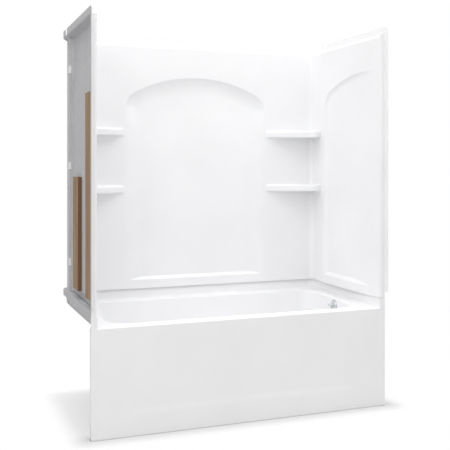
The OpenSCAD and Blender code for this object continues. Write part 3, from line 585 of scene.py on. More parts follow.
def shelf_rows(top):
    """Rows that carry the sheet round a shelf from below: whether the row is out at the shelf's
    front, the length added to its reach, and z."""
    low = top - SHELF_T
    fillet, edge, lip = 9.0, 4.5, 7.0
    rows = [(False, out, low - dz) for out, dz in quarter(fillet, 4)]
    rows += [(True, -back, low + dz) for dz, back in quarter(edge, 3)]
    rows += [(True, -back, top - dz) for back, dz in quarter(lip, 4)]
    return rows + [(False, out, top + dz) for dz, out in quarter(fillet, 4)]


def panel_rows():
    """All rows of the back wall from its foot to SKIN_HEAD, in the form of shelf_rows."""
    flats = [[(False, 0.0, z) for z in levels] for levels in (LEVELS_LOW, LEVELS_MID, LEVELS_HIGH)]
    return [*flats[0], *shelf_rows(SHELF_TOPS[0]), *flats[1], *shelf_rows(SHELF_TOPS[1]), *flats[2]]


def back_wall_side(sheet):
    """Right half of the back wall from the plate round the cove to the seam, shelves included."""
    columns = cove_columns()
    fronts = shelf_front(columns)
    seam_y = SEAM + SEAM_HALF
    rib = rounded_path([(0, seam_y + 5), (0, seam_y), (18, seam_y)], [0, 4.5, 0], 4)[1:]
    rows = []
    for out, length, z in panel_rows():
        row = []
        for column, front in zip(columns, fronts):
            x, y = wall_point(column, 0)
            depth = math.hypot(front[0] - x, front[1] - y) if front else 0.0
            if depth > 0.01 and (out or length):
                go = max(depth + length, depth * 0.5) if out else min(length, depth * 0.5)
                x += (front[0] - x) * go / depth
                y += (front[1] - y) * go / depth
            row.append((x, y, z))
        rows.append(row + [(WALL_X + u, y, z) for u, y in rib])
    sheet.grid(rows)
    # The ledge and flange above the skin, with the rib's columns drawn up into the ledge
    top = ledge_rows()
    rows = [[(*wall_point(c, u), z) for c in columns] + [(WALL_X + max(u, v), y, z) for v, y in rib]
            for u, z in top]
    ahead = columns.index(("side", FLANGE_START))
    risen = next(i for i, (u, _) in enumerate(top) if u >= FLANGE_U - 1e-6)
    sheet.grid(rows, keep=lambda r, c: r < risen or c < ahead)


def arch_side(shape, inset, steps):
    """Right half of an arch from the foot of its shoulder to its crown, drawn in by the inset."""
    half, r, shoulder = (v - inset for v in shape)
    mid = ARCH_CROWN - shape[1]
    rise = math.sqrt((r - shoulder) ** 2 - (half - shoulder) ** 2)
    turn = math.atan2(rise, half - shoulder)
    side = [(half - shoulder + shoulder * math.cos(turn * k / 10),
             mid + rise + shoulder * math.sin(turn * k / 10)) for k in range(10)]
    crown = np.linspace(turn, math.pi / 2, steps)
    return side + [(r * math.cos(t), mid + r * math.sin(t)) for t in crown]


def arch_outline(shape, inset=0.0, run=0.0):
    """Closed outline of an arch over a sill, raised by the run; anticlockwise from the room."""
    side = arch_side(shape, inset, 24)
    foot = ARCH_SILL + run
    half, spring = side[0]
    right = [(half, z) for z in np.linspace(foot, spring, 20)[:-1]] + side
    bottom = [(x, foot) for x in np.linspace(-half, half, 30)[1:-1]]
    return np.array(right + [(-x, z) for x, z in right[-2::-1]] + bottom)


def recess_rings(outer, inner, shape):
    """Rings of (points, share of the depth) from the edge of a recess to its floor."""
    spring = arch_side(shape, 0.0, 2)[0][1]
    sill = (outer[:, 1] < ARCH_SILL + 0.01) * 1.0
    for end in (outer[:, 0].min(), outer[:, 0].max()):
        sill[np.abs(outer[:, 0] - end) < 0.01] *= 0.5
    crown = np.clip((outer[:, 1] - spring) / 60 + 1, 0, 1)
    return [(outer + (inner - outer) * t, recess_depth(t, sill, crown)) for t in SLOPE_STEPS]


def back_depth(z):
    """Depth of the back wall's recess at a height."""
    return BACK_RECESS + CROWN_DEEPER * eased((z - DEEPER_FROM) / DEEPER_OVER)


def back_wall_plate(sheet):
    """Flat middle of the back wall with its arched recess."""
    outer, inner = arch_outline(BACK_ARCH), arch_outline(BACK_ARCH, BACK_SLOPE, SILL_RUN)
    rows = [[(x, WALL_Y + back_depth(z) * d, z) for (x, z), d in zip(ring, depth)]
            for ring, depth in recess_rings(outer, inner, BACK_ARCH)]
    sheet.grid(rows, closed=True)
    floor = [(x, z) for x, _, z in rows[-1]]
    sheet.flat([floor], lambda x, z: (x, WALL_Y + back_depth(z), z), spread=60.0)
    heights = sorted({round(z, 6) for _, _, z in panel_rows()})
    xs = list(np.linspace(-PLATE_HALF, PLATE_HALF, 13))
    loop = [(x, heights[0]) for x in xs]
    loop += [(PLATE_HALF, z) for z in heights[1:]]
    loop += [(x, heights[-1]) for x in xs[::-1][1:]]
    loop += [(-PLATE_HALF, z) for z in heights[::-1][1:-1]]
    sheet.flat([loop, [(x, z) for x, _, z in rows[0]]], lambda x, z: (x, WALL_Y, z))
    sheet.grid([[(x, WALL_Y + u, z) for x in xs] for u, z in ledge_rows()])


def low_ledge(path, lip_foot):
    """Ledge and lip outside the foot of the walls, a sheet along a path of (point, direction)."""
    sheet = Sheet()
    profile = rounded_path([(1.0, LOW_LEDGE), (LIP_U, LOW_LEDGE), (LIP_U, 560.0)], [0, 3.0, 0], 4)
    rows = [[(p[0] + d[0] * u, p[1] + d[1] * u, z) for p, d in path] for u, z in profile[:-1]]
    rows.append([(x, y, z) for (x, y, _), z in zip(rows[-1], lip_foot)])
    sheet.grid(rows)
    return sheet


def plate(name, low, high, bevel, material):
    """A plain plate between two corners, in the unit's planes, with softened edges."""
    lo, hi = to_row([low])[0], to_row([high])[0]
    me = bpy.data.meshes.new(name)
    bm = bmesh.new()
    bmesh.ops.create_cube(bm, size=1.0)
    for v in bm.verts:
        v.co = Vector([lo[i] if v.co[i] < 0 else hi[i] for i in range(3)])
    bmesh.ops.bevel(bm, geom=bm.edges, offset=bevel * MM, segments=2, affect="EDGES", profile=0.5)
    bm.to_mesh(me)
    bm.free()
    me.materials.append(material)
    return link(name, me)


def build_back_wall():
    sheet = Sheet()
    back_wall_side(sheet)
    sheet.mirrored()
    back_wall_plate(sheet)
    panel = moulded("back_panel", sheet, ((0, WALL_Y + BACK_RECESS, 1000), (0, -1, 0)), SKIN,
                    (GEL, SHADED_LAMINATE))
    path = [((WALL_X, SEAM + SEAM_HALF), (1, 0))]
    for t in (math.pi / 2 * k / 12 for k in range(13)):
        way = (math.cos(t), math.sin(t))
        path.append(((WALL_X - COVE + COVE * way[0], WALL_Y - COVE + COVE * way[1]), way))
    path += [((-x, y), (-dx, dy)) for (x, y), (dx, dy) in path[::-1]]
    ledge = moulded("back_low_ledge", low_ledge(path, [LIP_FOOT] * len(path)),
                    ((0, WALL_Y + 15, LOW_LEDGE), (0, 0, 1)), 3.6, (SHADED_LAMINATE, SHADED_LAMINATE))
    fins = []
    for s in (-1, 1):
        x = sorted((s * (WALL_X + 0.2), s * (WALL_X + SKIN - 0.2)))
        fins.append(plate("side_fin", (x[0], WALL_Y + SKIN - COVE, LOW_LEDGE - 2),
                          (x[1], WALL_Y + 18.0, LEDGE_LOW + 4), 1.0, SHADED_LAMINATE))
    return joined("back_wall_panel", [panel, ledge, *fins])


# End walls
END_ARCH_Y = 150.0  # depth of the arch's crown
END_ARCH = (460.0, 1050.0, 120.0)
END_SLOPE = 32.0
FIELD = 11.0  # how far the field stands into the room
FADE_START = 30.0  # it rises from nothing between these depths
FADE_END = 300.0
END_REAR = SEAM - SEAM_HALF
RETURN_Y = 15.0  # where the front edge starts to round
FLAT_Y = 22.0
RIB_Y = END_REAR - 5.0  # where the rear edge starts to round
FLANGE_Y = 600.0  # the top flange shares the wall's columns up to here
END_YS = (RETURN_Y, FLAT_Y, FADE_START, 60.0, 90.0, 120.0, 150.0, 215.0, FADE_END, 450.0, FLANGE_Y,
          RIB_Y)
END_ZS = (SKIN_FOOT, SKIN_FOOT + 10, 640, 800, 1000, 1200, 1400, 1600, 1700, SKIN_HEAD)


def field_u(y):
    """Distance of an end wall's field from the wall's face, into the room, at depth y."""
    return -FIELD * eased((y - FADE_START) / (FADE_END - FADE_START))


def end_outline(inset=0.0, run=0.0):
    """Open outline of an end recess: along the sill from the front, up the leg and over the arch.

    The sill rises by the run where the recess has its whole depth.
    """
    side = [(END_ARCH_Y + y, z) for y, z in arch_side(END_ARCH, inset, 22)]
    leg_y, spring = side[0]
    r, mid = END_ARCH[1] - inset, ARCH_CROWN - END_ARCH[1]
    last = math.pi / 2 + math.asin((END_ARCH_Y - FADE_START) / r)
    far = [(END_ARCH_Y + r * math.cos(t), mid + r * math.sin(t))
           for t in np.linspace(math.pi / 2, last, 8)[1:]]
    sill = [(y, ARCH_SILL + run * max(0.12, -field_u(y) / FIELD))
            for y in np.linspace(FADE_START, leg_y, 20)[:-1]]
    leg = [(leg_y, z) for z in np.linspace(ARCH_SILL + run, spring, 20)[:-1]]
    return np.array(sill + leg + side + far)


def end_wall_flats(sheet):
    """Recess of an end wall, the field round it and the strip ahead of it."""
    outline, floor_line = end_outline(), end_outline(END_SLOPE, SILL_RUN + 3)
    rows = [[(WALL_X + field_u(y) * (1 - d), y, z) for (y, z), d in zip(ring, depth)]
            for ring, depth in recess_rings(outline, floor_line, END_ARCH)]
    sheet.grid(rows)
    outer, inner = ([(y, z) for _, y, z in rows[k]] for k in (0, -1))
    front = [(FADE_START, z) for z in np.linspace(inner[-1][1], inner[0][1], 14)[1:-1]]
    sheet.flat([inner + front], lambda y, z: (WALL_X, y, z), spread=60.0)
    below = [(FADE_START, z) for z in np.linspace(outer[0][1], SKIN_FOOT, 3)[1:]]
    above = [(FADE_START, z) for z in np.linspace(outer[-1][1], SKIN_HEAD, 5)[1:]]
    loop = outer + above + [(y, SKIN_HEAD) for y in END_YS if y > FADE_START]
    loop += [(RIB_Y, z) for z in END_ZS[::-1][1:]]
    loop += [(y, SKIN_FOOT) for y in END_YS[::-1] if FADE_START < y < RIB_Y] + below[::-1]
    sheet.flat([loop], lambda y, z: (WALL_X + field_u(y), y, z), spread=18.0)
    edge = {round(z, 6) for row in rows for _, _, z in (row[0], row[-1])}
    edge |= {round(z, 6) for _, z in front + below + above}
    strip = [(FADE_START, z) for z in sorted(edge)] + [(FLAT_Y, SKIN_HEAD), (RETURN_Y, SKIN_HEAD)]
    strip += [(RETURN_Y, z) for z in END_ZS[::-1][1:]] + [(FLAT_Y, SKIN_FOOT)]
    sheet.flat([strip], lambda y, z: (WALL_X, y, z))


def flange_y(y, z):
    """Depth of a point of the side flange, drawn back at the flange's two round corners."""
    for end_z, way in ((FLANGE_FOOT, 1), (TOP, -1)):
        d = FLANGE_R - way * (z - end_z)
        if 0 < d <= FLANGE_R + 1e-6 and y < FLANGE_FRONT + FLANGE_R:
            y = max(y, FLANGE_FRONT + FLANGE_R - math.sqrt(max(0.0, FLANGE_R ** 2 - d ** 2)))
    return y


def end_wall_edges(sheet):
    """Front return and side flange, the rib at the rear, and the ledge and flange at the top."""
    ahead = [(0, RETURN_Y), (0, 0.0), (FLANGE_U, 0.0)]
    low = [*(z for z in END_ZS if z < FLANGE_FOOT), FLANGE_FOOT]
    sheet.grid([[(WALL_X + u, y, z) for u, y in rounded_path(ahead, [0, 13, 0], 7)] for z in low])
    front = rounded_path([*ahead, (FLANGE_U, FLANGE_FRONT)], [0, 13, 4, 0], 7)
    corner = [FLANGE_FOOT + dz for dz, _ in quarter(FLANGE_R, 6)]
    levels = sorted({*corner, *(z for z in END_ZS if z > FLANGE_FOOT + FLANGE_R)})
    sheet.grid([[(WALL_X + u, flange_y(y, z), z) for u, y in front] for z in levels])
    rib = rounded_path([(-FIELD, RIB_Y), (-FIELD, END_REAR), (18, END_REAR)], [0, 4.5, 0], 4)
    sheet.grid([[(WALL_X + u, y, z) for u, y in rib] for z in END_ZS])

    def carried(u, ledge_u):
        """A column's u where the ledge has carried the wall's face out to ledge_u."""
        return u + (FLANGE_U - u) * ledge_u / FLANGE_U if u <= 0 else max(u, ledge_u)

    corner = [TOP - dz for dz, _ in quarter(FLANGE_R, 6)[::-1]]
    top = [p for p in ledge_rows() if p[1] < corner[0] - 1] + [(FLANGE_U, z) for z in corner]
    columns = front[::-1] + [(field_u(y), y) for y in END_YS[1:-1]] + rib
    rows = [[(WALL_X + carried(u, ledge_u), flange_y(y, z), z) for u, y in columns]
            for ledge_u, z in top]
    risen = next(k for k, (u, _) in enumerate(top) if u >= FLANGE_U - 1e-6)
    shared = max(i for i, (_, y) in enumerate(columns) if y <= FLANGE_Y + 1e-6)
    sheet.grid(rows, keep=lambda r, c: r < risen or c < shared)
    sheet.grid([[(WALL_X + FLANGE_U, y, z) for y in (FLANGE_Y, END_REAR - 10.0)]
                for _, z in top[risen:]])


def build_end_wall(name, side):
    """One end wall; side is 1 at the right and -1 at the left."""
    sheet = Sheet()
    end_wall_flats(sheet)
    end_wall_edges(sheet)
    # The low ledge starts behind the rounded front edge, and its lip has a step
    steps = ((12.0, 0.87, LIP_FOOT_FRONT), (30.0, 1, LIP_FOOT_FRONT),
             (LIP_STEP_Y - 0.2, 1, LIP_FOOT_FRONT), (LIP_STEP_Y + 0.2, 1, LIP_FOOT),
             (END_REAR, 1, LIP_FOOT))
    low = low_ledge([((WALL_X, y), (reach, 0)) for y, reach, _ in steps], [z for _, _, z in steps])
    fillet = Sheet()
    curve = [(SKIN - FIELD + 22 * (1 - math.sin(a)), SEAM - 4.0 - 40 * (1 - math.cos(a)))
             for a in np.linspace(0, math.pi / 2, 7)]
    fillet.grid([[(WALL_X + u, y, z) for u, y in curve] for z in (LOW_LEDGE + 1, LEDGE_LOW)])
    for s in (sheet, low, fillet):
        s.points = [(side * x, y, z) for x, y, z in s.points]
    panel = moulded(name + "_panel", sheet, ((side * WALL_X, 400, 1000), (-side, 0, 0)), SKIN,
                    (GEL, SHADED_LAMINATE))
    ledge = moulded(name + "_low_ledge", low, ((side * (WALL_X + 15), 300, LOW_LEDGE), (0, 0, 1)),
                    3.6, (SHADED_LAMINATE, SHADED_LAMINATE))
    web = moulded(name + "_fillet", fillet, ((side * (WALL_X + 40), 560, 1200), (side, -1, 0)), 2.0,
                  (SHADED_LAMINATE, SHADED_LAMINATE))
    xs = sorted((side * (WALL_X + 0.4), side * (WALL_X + FLANGE_U)))
    cheek = plate(name + "_cheek", (xs[0], 0.3, 1895.0), (xs[1], 4.3, LEDGE_HIGH), 0.8, GEL)
    return joined(name, [panel, ledge, web, cheek])


# Bath
WELL_X = (-702.0, 702.0)  # the well's edge at the deck
WELL_Y = (72.0, 700.0)
END_SPLAY = 36.0  # how much shorter the well is at the front, at each end
RUNS = (200.0, 30.0, 36.0)  # how far backrest, drain end and sides lean in down to the floor
CORNERS = (105.0, 160.0, 95.0, 95.0)
FLOOR_CORNER = 90.0
FLOOR_FILLET = 70.0
ROLL = 4.0  # radius of the deck's rolled edge
WIDE_ROLL = 14.0  # the same at the drain end
ROLL_IN = 8.0  # how far the roll draws the wall in
NOSE_R = 5.0  # front edge of the deck
STRIP = 1.5  # narrow flat strips keep the deck flat beside its rounded edges
UP_FOOT = 8.0  # face of the upstand at its foot and its top
UP_TOP = 12.0
UP_FILLET = 3.5
TILE_FLANGE_U = 20.5
TILE_FLANGE_RISE = 19.0
FORWARD = 7.0  # the upstand comes forward by this beside the end walls
FORWARD_LENGTH = 560.0
TURN_IN = 17.0
PANEL_FOOT = 112.0  # shallow panel in the apron
PANEL_HEAD = RIM - 80.0
PANEL_IN = 182.0
PANEL_SPLAY = 0.39
PANEL_ARC = 9.0
PANEL_BEVEL = 42.0
PANEL_DEPTH = 2.8
APRON_XS = sorted({round(float(x), 3) for x in (*np.linspace(-HALF, HALF, 97), -714.5, 714.5)})


def side_in(height, run, r=ROLL):
    """Inset of a wall of the well at a height above its floor, with the roll of its top edge."""
    h = min(height, WELL_DEPTH)
    low = 0.0
    if h < FLOOR_FILLET:
        low = FLOOR_FILLET - math.sqrt(FLOOR_FILLET ** 2 - (FLOOR_FILLET - h) ** 2)
    over = h - WELL_DEPTH + r
    roll = ROLL_IN if over <= 0 else ROLL_IN - r + math.sqrt(max(0.0, r ** 2 - over ** 2))
    return run * (1 - h / WELL_DEPTH) + low + roll


def well_ring(height):
    """Outline of the well at a height above its floor."""
    s = min(1.0, height / WELL_DEPTH)
    x0 = WELL_X[0] + side_in(height, RUNS[0])
    x1 = WELL_X[1] - side_in(height, RUNS[1], WIDE_ROLL)
    y0 = WELL_Y[0] + side_in(height, RUNS[2])
    y1 = WELL_Y[1] - side_in(height, RUNS[2])
    quad = [(x0 + END_SPLAY, y0), (x1 - END_SPLAY, y0), (x1, y1), (x0, y1)]
    radii = [FLOOR_CORNER + (r - FLOOR_CORNER) * s for r in CORNERS]
    return rounded_path(quad, radii, 12, closed=True)


def widened(ring, by):
    """An anticlockwise ring drawn outwards by a distance."""
    points = np.array(ring)
    along = np.roll(points, -1, axis=0) - np.roll(points, 1, axis=0)
    out = np.stack([along[:, 1], -along[:, 0]], axis=1) / np.linalg.norm(along, axis=1)[:, None]
    return points + out * by


def apron_relief(x, z):
    """Depth of the shallow panel in the apron, which runs out toward its top."""
    if z >= PANEL_HEAD:
        return 0.0
    half = HALF - PANEL_IN
    side = half + PANEL_SPLAY * (z - PANEL_FOOT)
    low = PANEL_FOOT + PANEL_ARC * (1 - min(1.0, abs(x) / half))
    inward = min(side - abs(x), z - low)
    share = (PANEL_HEAD - z) / (PANEL_HEAD - PANEL_FOOT)
    return PANEL_DEPTH * share * eased(inward / PANEL_BEVEL + 0.5)


def upstand_point(column, u, z=RIM):
    """Point of the plan at distance u behind the face of the walls.

    Beside the end walls the upstand comes forward, and at its front it turns in to meet the ear.
    """
    kind, y = column
    if kind == "side" and u <= UP_TOP + 0.01 and z <= SILL:
        u -= FORWARD * max(0.0, 1 - y / FORWARD_LENGTH)
        u -= (u + 1) * max(0.0, 1 - y / TURN_IN) ** 2
    return wall_point(column, u)


def well(sheet):
    """Walls and floor of the well with the drain's seat; returns the outline at the deck."""
    heights = [h for h, _ in quarter(FLOOR_FILLET, 9)]
    heights += [110.0, 160.0, 210.0, 260.0, 310.0]
    heights += [WELL_DEPTH - d for d in (WIDE_ROLL, 11.5, 9.0, 6.5, ROLL + 0.3)]
    heights += [WELL_DEPTH - d for _, d in quarter(ROLL, 6)]
    rings = [[(x, y, FLOOR + h) for x, y in well_ring(h)] for h in heights]
    edge = [tuple(p) for p in widened(well_ring(WELL_DEPTH), STRIP)]
    rings.append([(x, y, RIM) for x, y in edge])
    sheet.grid(rings, closed=True)

    def circle(r, n=48):
        turns = [2 * math.pi * k / n for k in range(n)]
        return [(DRAIN_X + r * math.cos(t), WELL_MID + r * math.sin(t)) for t in turns]

    seat = [(38.0, 0.0), (36.8, -0.2), (36.0, -0.8), (36.0, -2.4), (27.0, -2.5), (26.0, -3.2),
            (26.0, -4.8)]
    sheet.flat([[(x, y) for x, y, _ in rings[0]], circle(seat[0][0])], lambda x, y: (x, y, FLOOR))
    sheet.grid([[(x, y, FLOOR + dz) for x, y in circle(r)] for r, dz in seat], closed=True)
    return edge


def bath_sheet():
    """The bath's moulding: well, deck, upstand with its tiling flange, and apron."""
    sheet = Sheet()
    well_edge = well(sheet)
    # Flat deck from the well's edge to the foot of the upstand and the nose of the rim
    nose_y = NOSE_R + STRIP
    sides = (nose_y, 8.0, 11.0, 14.0, TURN_IN, *np.linspace(60, WALL_Y - COVE, 10))
    plan = [("side", y) for y in sides] + [("cove", 1 - k / 16) for k in range(1, 16)]
    plan += [("back", x) for x in np.linspace(WALL_X - COVE, 0, 9)]
    half = [upstand_point(p, UP_FOOT - UP_FILLET - STRIP) for p in plan]
    loop = half + [(-x, y) for x, y in half[::-1][1:]]
    front = [(x, nose_y) for x in APRON_XS if abs(x) < half[0][0] - 1e-6]
    sheet.flat([loop + front, well_edge], lambda x, y: (x, y, RIM))
    # Upstand: fillet, face, ledge and tiling flange
    profile = [(UP_FOOT - UP_FILLET - STRIP, RIM)]
    profile += [(UP_FOOT - du, RIM + dz) for dz, du in quarter(UP_FILLET, 6)]
    profile += rounded_path([(UP_FOOT, RIM + UP_FILLET + 1), (UP_TOP, SILL), (TILE_FLANGE_U, SILL),
                             (TILE_FLANGE_U, SILL + TILE_FLANGE_RISE)], [0, 2.0, 3.0, 0], 4)[1:]
    rows = []
    for u, z in profile:
        row = [(*upstand_point(p, u, z), z) for p in [("side", 0.0)] + plan]
        rows.append(row + [(-x, y, z) for x, y, z in row[::-1][1:]])
    flange = next(i for i, (u, _) in enumerate(profile) if u > 17.4)
    last = len(rows[0]) - 3
    sheet.grid(rows, keep=lambda r, c: r < flange or 2 <= c < last)
    # Ears beside the panels: the front ends of the upstand
    for s in (-1, 1):
        curve = [(upstand_point(("side", 0.0), u, z)[0], z) for u, z in profile[:flange + 1]]
        ear = curve + [(HALF, SILL), (HALF, RIM - NOSE_R), (curve[0][0], RIM - NOSE_R)]
        sheet.flat([[(s * x, z) for x, z in ear]], lambda x, z: (x, 0.0, z))
    apron(sheet)
    return sheet


def apron(sheet):
    """Nose of the rim, apron and bottom lip."""
    nose = [(NOSE_R + STRIP, RIM)] + [(y, RIM - dz) for dz, y in quarter(NOSE_R, 8)]
    sheet.grid([[(x, y, z) for x in APRON_XS] for y, z in nose])
    zs = [*np.linspace(nose[-1][1], PANEL_HEAD, 4), *np.linspace(RIM - 100.0, 160.0, 18),
          *np.linspace(154.0, 84.0, 21), 50.0, 4.0]
    rows = [[(x, apron_relief(x, z), z) for x in APRON_XS] for z in zs]
    rows += [[(x, y, z) for x in APRON_XS] for y, z in ((1.2, 1.2), (4.0, 0.0), (30.0, 0.0))]
    sheet.grid(rows)


def overflow_pad():
    """Flat ring behind the overflow, square to the slope of the well's end."""
    section = [(30.5, -1.2), (43.0, -1.2), (43.0, -6.0), (42.0, -7.0), (30.5, -7.0)]
    turn = (Matrix.Rotation(math.radians(END_TURN), 4, "Z")
            @ Matrix.Rotation(math.radians(END_LEAN - 90), 4, "Y"))
    turns = [2 * math.pi * k / 96 for k in range(96)]
    rows = [[turn @ Vector((r * math.cos(t), r * math.sin(t), z)) + Vector(OVERFLOW) for t in turns]
            for r, z in section]
    sheet = Sheet()
    sheet.grid(rows + rows[:1], closed=True)
    front = (rows[0][0] + rows[1][0]) / 2
    o = link("overflow_pad", sheet.mesh("overflow_pad", (front, (-1, 0, 0))))
    o.data.materials.append(SHADED_LAMINATE)
    return sharp_and_weighted(o, 40.0)


def rib_tree():
    """Geometry nodes for a row of upright ribs along X, each a round-cornered bar."""
    tree = bpy.data.node_groups.new("upright_ribs", "GeometryNodeTree")
    kinds = {"Count": "Int", "First": "Vector", "Pitch": "Float", "Thickness": "Float",
             "Depth": "Float", "Height": "Float", "Corner": "Float", "Finish": "Material"}
    sockets = {label: tree.interface.new_socket(label, in_out="INPUT",
                                                socket_type="NodeSocket" + kind)
               for label, kind in kinds.items()}
    tree.interface.new_socket("Ribs", in_out="OUTPUT", socket_type="NodeSocketGeometry")
    nodes = Nodes(tree)
    given = nodes.add("NodeGroupInput")
    spots = nodes.add("GeometryNodeMeshLine", {"mode": "OFFSET"}, {
        "Count": given["Count"], "Start Location": given["First"],
        "Offset": nodes.add("CombineXYZ", inputs={"X": given["Pitch"]})})
    outline = nodes.add("GeometryNodeCurvePrimitiveQuadrilateral",
                        inputs={"Width": given["Thickness"], "Height": given["Depth"]})
    outline = nodes.add("GeometryNodeFilletCurve", {"mode": "POLY"},
                        {"Curve": outline, "Radius": given["Corner"], "Count": 3})
    foot = nodes.add("GeometryNodeFillCurve", inputs={"Curve": outline})
    up = nodes.add("CombineXYZ", inputs={"Z": given["Height"]})
    bar = nodes.add("GeometryNodeExtrudeMesh",
                    inputs={"Mesh": foot, "Offset": up, "Individual": False})
    under = nodes.add("GeometryNodeFlipFaces", inputs={"Mesh": foot})
    rib = nodes.add("GeometryNodeJoinGeometry", inputs={0: [bar, under]})
    rib = nodes.add("GeometryNodeMergeByDistance", inputs={"Geometry": rib, "Distance": 1e-5})
    row = nodes.add("GeometryNodeInstanceOnPoints", inputs={"Points": spots, "Instance": rib})
    row = nodes.add("GeometryNodeRealizeInstances", inputs={"Geometry": row})
    row = nodes.add("GeometryNodeSetMaterial",
                    inputs={"Geometry": row, "Material": given["Finish"]})
    nodes.add("NodeGroupOutput", inputs={0: row})
    return tree, sockets


def apron_ribs():
    """Ribs that stiffen the apron from behind."""
    o = link("apron_ribs", bpy.data.meshes.new("apron_ribs"))
    tree, sockets = rib_tree()
    row = o.modifiers.new("ribs", "NODES")
    row.node_group = tree
    pitch = 2 * HALF / 6
    values = {"Count": 5, "First": tuple(to_row([(-HALF + pitch, 17.3, 2.0)])[0]),
              "Pitch": pitch * MM, "Thickness": 4 * MM, "Depth": 24.6 * MM,
              "Height": (RIM - 7) * MM, "Corner": 0.8 * MM, "Finish": SHADED_LAMINATE}
    for label, value in values.items():
        row[sockets[label].identifier] = value
    return baked(o)


def build_bath():
    body = moulded("bath_shell", bath_sheet(), ((0, 400, FLOOR), (0, 0, 1)), SHELL, (GEL, SHADED_LAMINATE))
    returns = [plate("apron_return", (s * HALF - (SHELL if s > 0 else 0), 2.0, 1.0),
                     (s * HALF + (SHELL if s < 0 else 0), 30.0, RIM - 1.0), 0.8, GEL)
               for s in (-1, 1)]
    return joined("bath_moulding", [body, *returns, apron_ribs(), overflow_pad()])


# Pieces on the frame
def stand_in(piece, node, body):
    """A moulding of the scene takes the place of its plain solid."""
    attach(piece, body)
    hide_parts(node)


stand_in(build_bath(), "bath", "unit")
stand_in(build_back_wall(), "back_wall", "unit")
stand_in(build_end_wall("right_end_panel", 1), "right_end_wall", "unit")
stand_in(build_end_wall("left_end_panel", -1), "left_end_wall", "unit")

# The pieces that are kept as solids, by their finish
FINISHES = (
    (NYLON, ("left_joint_clips", "right_joint_clips")),
    (END_PLY, ("left_tall_board", "left_short_board", "right_tall_board", "right_short_board")),
    (BACK_PLY, ("lower_back_board", "upper_back_board")),
    (BASE_PLY, ("base_board",)),
    (SOFTWOOD, ("left_runner", "middle_runner", "right_runner")),
    (CHROME, ("overflow_cover", "cover_screws", "trip_lever", "drain_flange", "drain_strainer",
              "strainer_screw", "slip_nuts")),
    (BRASS, ("lifting_rod", "plunger", "overflow_elbow", "overflow_tube", "waste_tee", "waste_arm",
             "drain_shoe", "tailpiece")),
    (RUBBER, ("overflow_gasket", "shoe_gasket", "slip_washers")),
)
for material, node_names in FINISHES:
    for node_name in node_names:
        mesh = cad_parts[node_name].data
        mesh.materials.clear()
        mesh.materials.append(material)


# Stage, light and camera
UNIT_BOX = (0.765, 0.394, 0)  # half the ground that the unit covers, in metres
WHITE_OVER = 0.12  # distance over which the floor beyond it turns white
APRON_FRONT, BEHIND_APRON = -0.40, -0.28
LIFT_FRONT, LIFT_BEHIND = 0.14, 0.38  # how much the shadow is lightened at those depths
ROOM_LIGHT = 0.52
AIM = (0, 0, 1.0)
SOFT_BOXES = (("top", (0.0, -0.6, 5.0), (6.0, 5.0), 192),  # name, place, size and power
              ("front_left", (-4.0, -4.5, 3.0), (4.0, 3.0), 68),
              ("front_right", (4.0, -4.5, 3.0), (4.0, 3.0), 30))
PICTURE = 450  # width and height of the photo
FOCAL = 803.75  # the lens and the point straight ahead of it, in the photo's own pixels
AHEAD = (241.1, 166.9)
SENSOR = 36.0
EYE = (-1.452, -4.0, 1.2347)
EYE_TURN = -21.41  # degrees to the right of straight at the back wall


def seen(path):
    """1 where the camera looks, also by a reflection, and 0 for the light on other pieces."""
    return path["Is Camera Ray"].larger(path["Is Glossy Ray"])


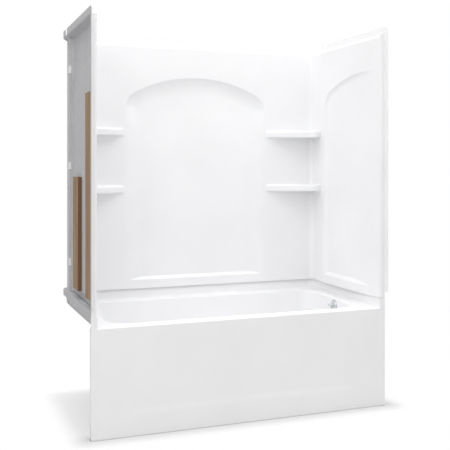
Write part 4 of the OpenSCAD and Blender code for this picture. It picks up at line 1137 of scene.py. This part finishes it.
def floor_finish():
    """Pale floor that keeps the unit's shadow and turns white beyond it."""
    material = bpy.data.materials.new("pale_floor")
    material.use_nodes = True
    nodes = Nodes(material.node_tree)
    nodes.tree.nodes.clear()

    def vector(operation, *values):
        return nodes.add("VectorMath", {"operation": operation}, dict(enumerate(values)))

    def ramp(value, start, end, first=0.0, last=1.0):
        return nodes.add("MapRange", {"interpolation_type": "SMOOTHSTEP"},
                         {"Value": value, "From Min": start, "From Max": end,
                          "To Min": first, "To Max": last})

    place = nodes.add("TexCoord")["Object"]
    beyond = vector("SUBTRACT", vector("ABSOLUTE", place), UNIT_BOX)
    away = vector("LENGTH", vector("MAXIMUM", beyond, (0, 0, 0)))["Value"]
    depth = nodes.add("SeparateXYZ", inputs={0: place})["Y"]
    looked_at = seen(nodes.add("LightPath"))
    pale = nodes.add("BsdfDiffuse", inputs={"Color": (0.6, 0.6, 0.6)})
    # Painted light: a glow that the camera sees, directly and in reflections, lightens the floor's
    # shadow, more behind the apron than ahead of it.
    strength = ramp(depth, APRON_FRONT, BEHIND_APRON, LIFT_FRONT, LIFT_BEHIND)
    lift = nodes.add("Emission", inputs={"Strength": strength})
    lifted = nodes.add("AddShader", inputs={0: pale, 1: lift})
    near = nodes.add("MixShader", inputs={0: looked_at, 1: pale, 2: lifted})
    white = nodes.add("Emission")
    share = looked_at * ramp(away, 0.0, WHITE_OVER)
    surface = nodes.add("MixShader", inputs={0: share, 1: near, 2: white})
    nodes.add("OutputMaterial", inputs={"Surface": surface})
    return material


def build_floor():
    me = bpy.data.meshes.new("floor")
    bm = bmesh.new()
    bmesh.ops.create_grid(bm, x_segments=1, y_segments=1, size=14.0)
    bm.to_mesh(me)
    bm.free()
    me.materials.append(floor_finish())
    floor = link("floor", me)
    floor.location = (0, 0, -0.0005)


def build_world():
    """Even light from all round, which shows as plain white behind the unit."""
    world = bpy.data.worlds.new("studio")
    bpy.context.scene.world = world
    world.use_nodes = True
    nodes = Nodes(world.node_tree)
    nodes.tree.nodes.clear()
    light, shown = (nodes.add("Background", inputs={"Color": (1, 1, 1), "Strength": s})
                    for s in (ROOM_LIGHT, 1.0))
    path = nodes.add("LightPath")
    looked_at = seen(path).larger(path["Is Transmission Ray"])
    both = nodes.add("MixShader", inputs={0: looked_at, 1: light, 2: shown})
    nodes.add("OutputWorld", inputs={"Surface": both})


def build_soft_box(name, place, size, power):
    lamp = bpy.data.lights.new(name, "AREA")
    lamp.shape = "RECTANGLE"
    lamp.size, lamp.size_y = size
    lamp.energy = power
    o = link(name, lamp)
    o.location = place
    o.rotation_euler = (Vector(AIM) - Vector(place)).to_track_quat("-Z", "Y").to_euler()


def build_camera():
    data = bpy.data.cameras.new("camera")
    data.sensor_width = SENSOR
    data.lens = FOCAL / PICTURE * SENSOR
    data.shift_x = -(AHEAD[0] - PICTURE / 2) / PICTURE
    data.shift_y = -(PICTURE / 2 - AHEAD[1]) / PICTURE
    data.clip_end = 60
    camera = link("camera", data)
    camera.location = EYE
    camera.rotation_euler = (math.radians(90), 0, math.radians(EYE_TURN))
    bpy.context.scene.camera = camera


build_floor()
build_world()
for box in SOFT_BOXES:
    build_soft_box(*box)
build_camera()
bpy.context.scene.view_settings.view_transform = "Standard"
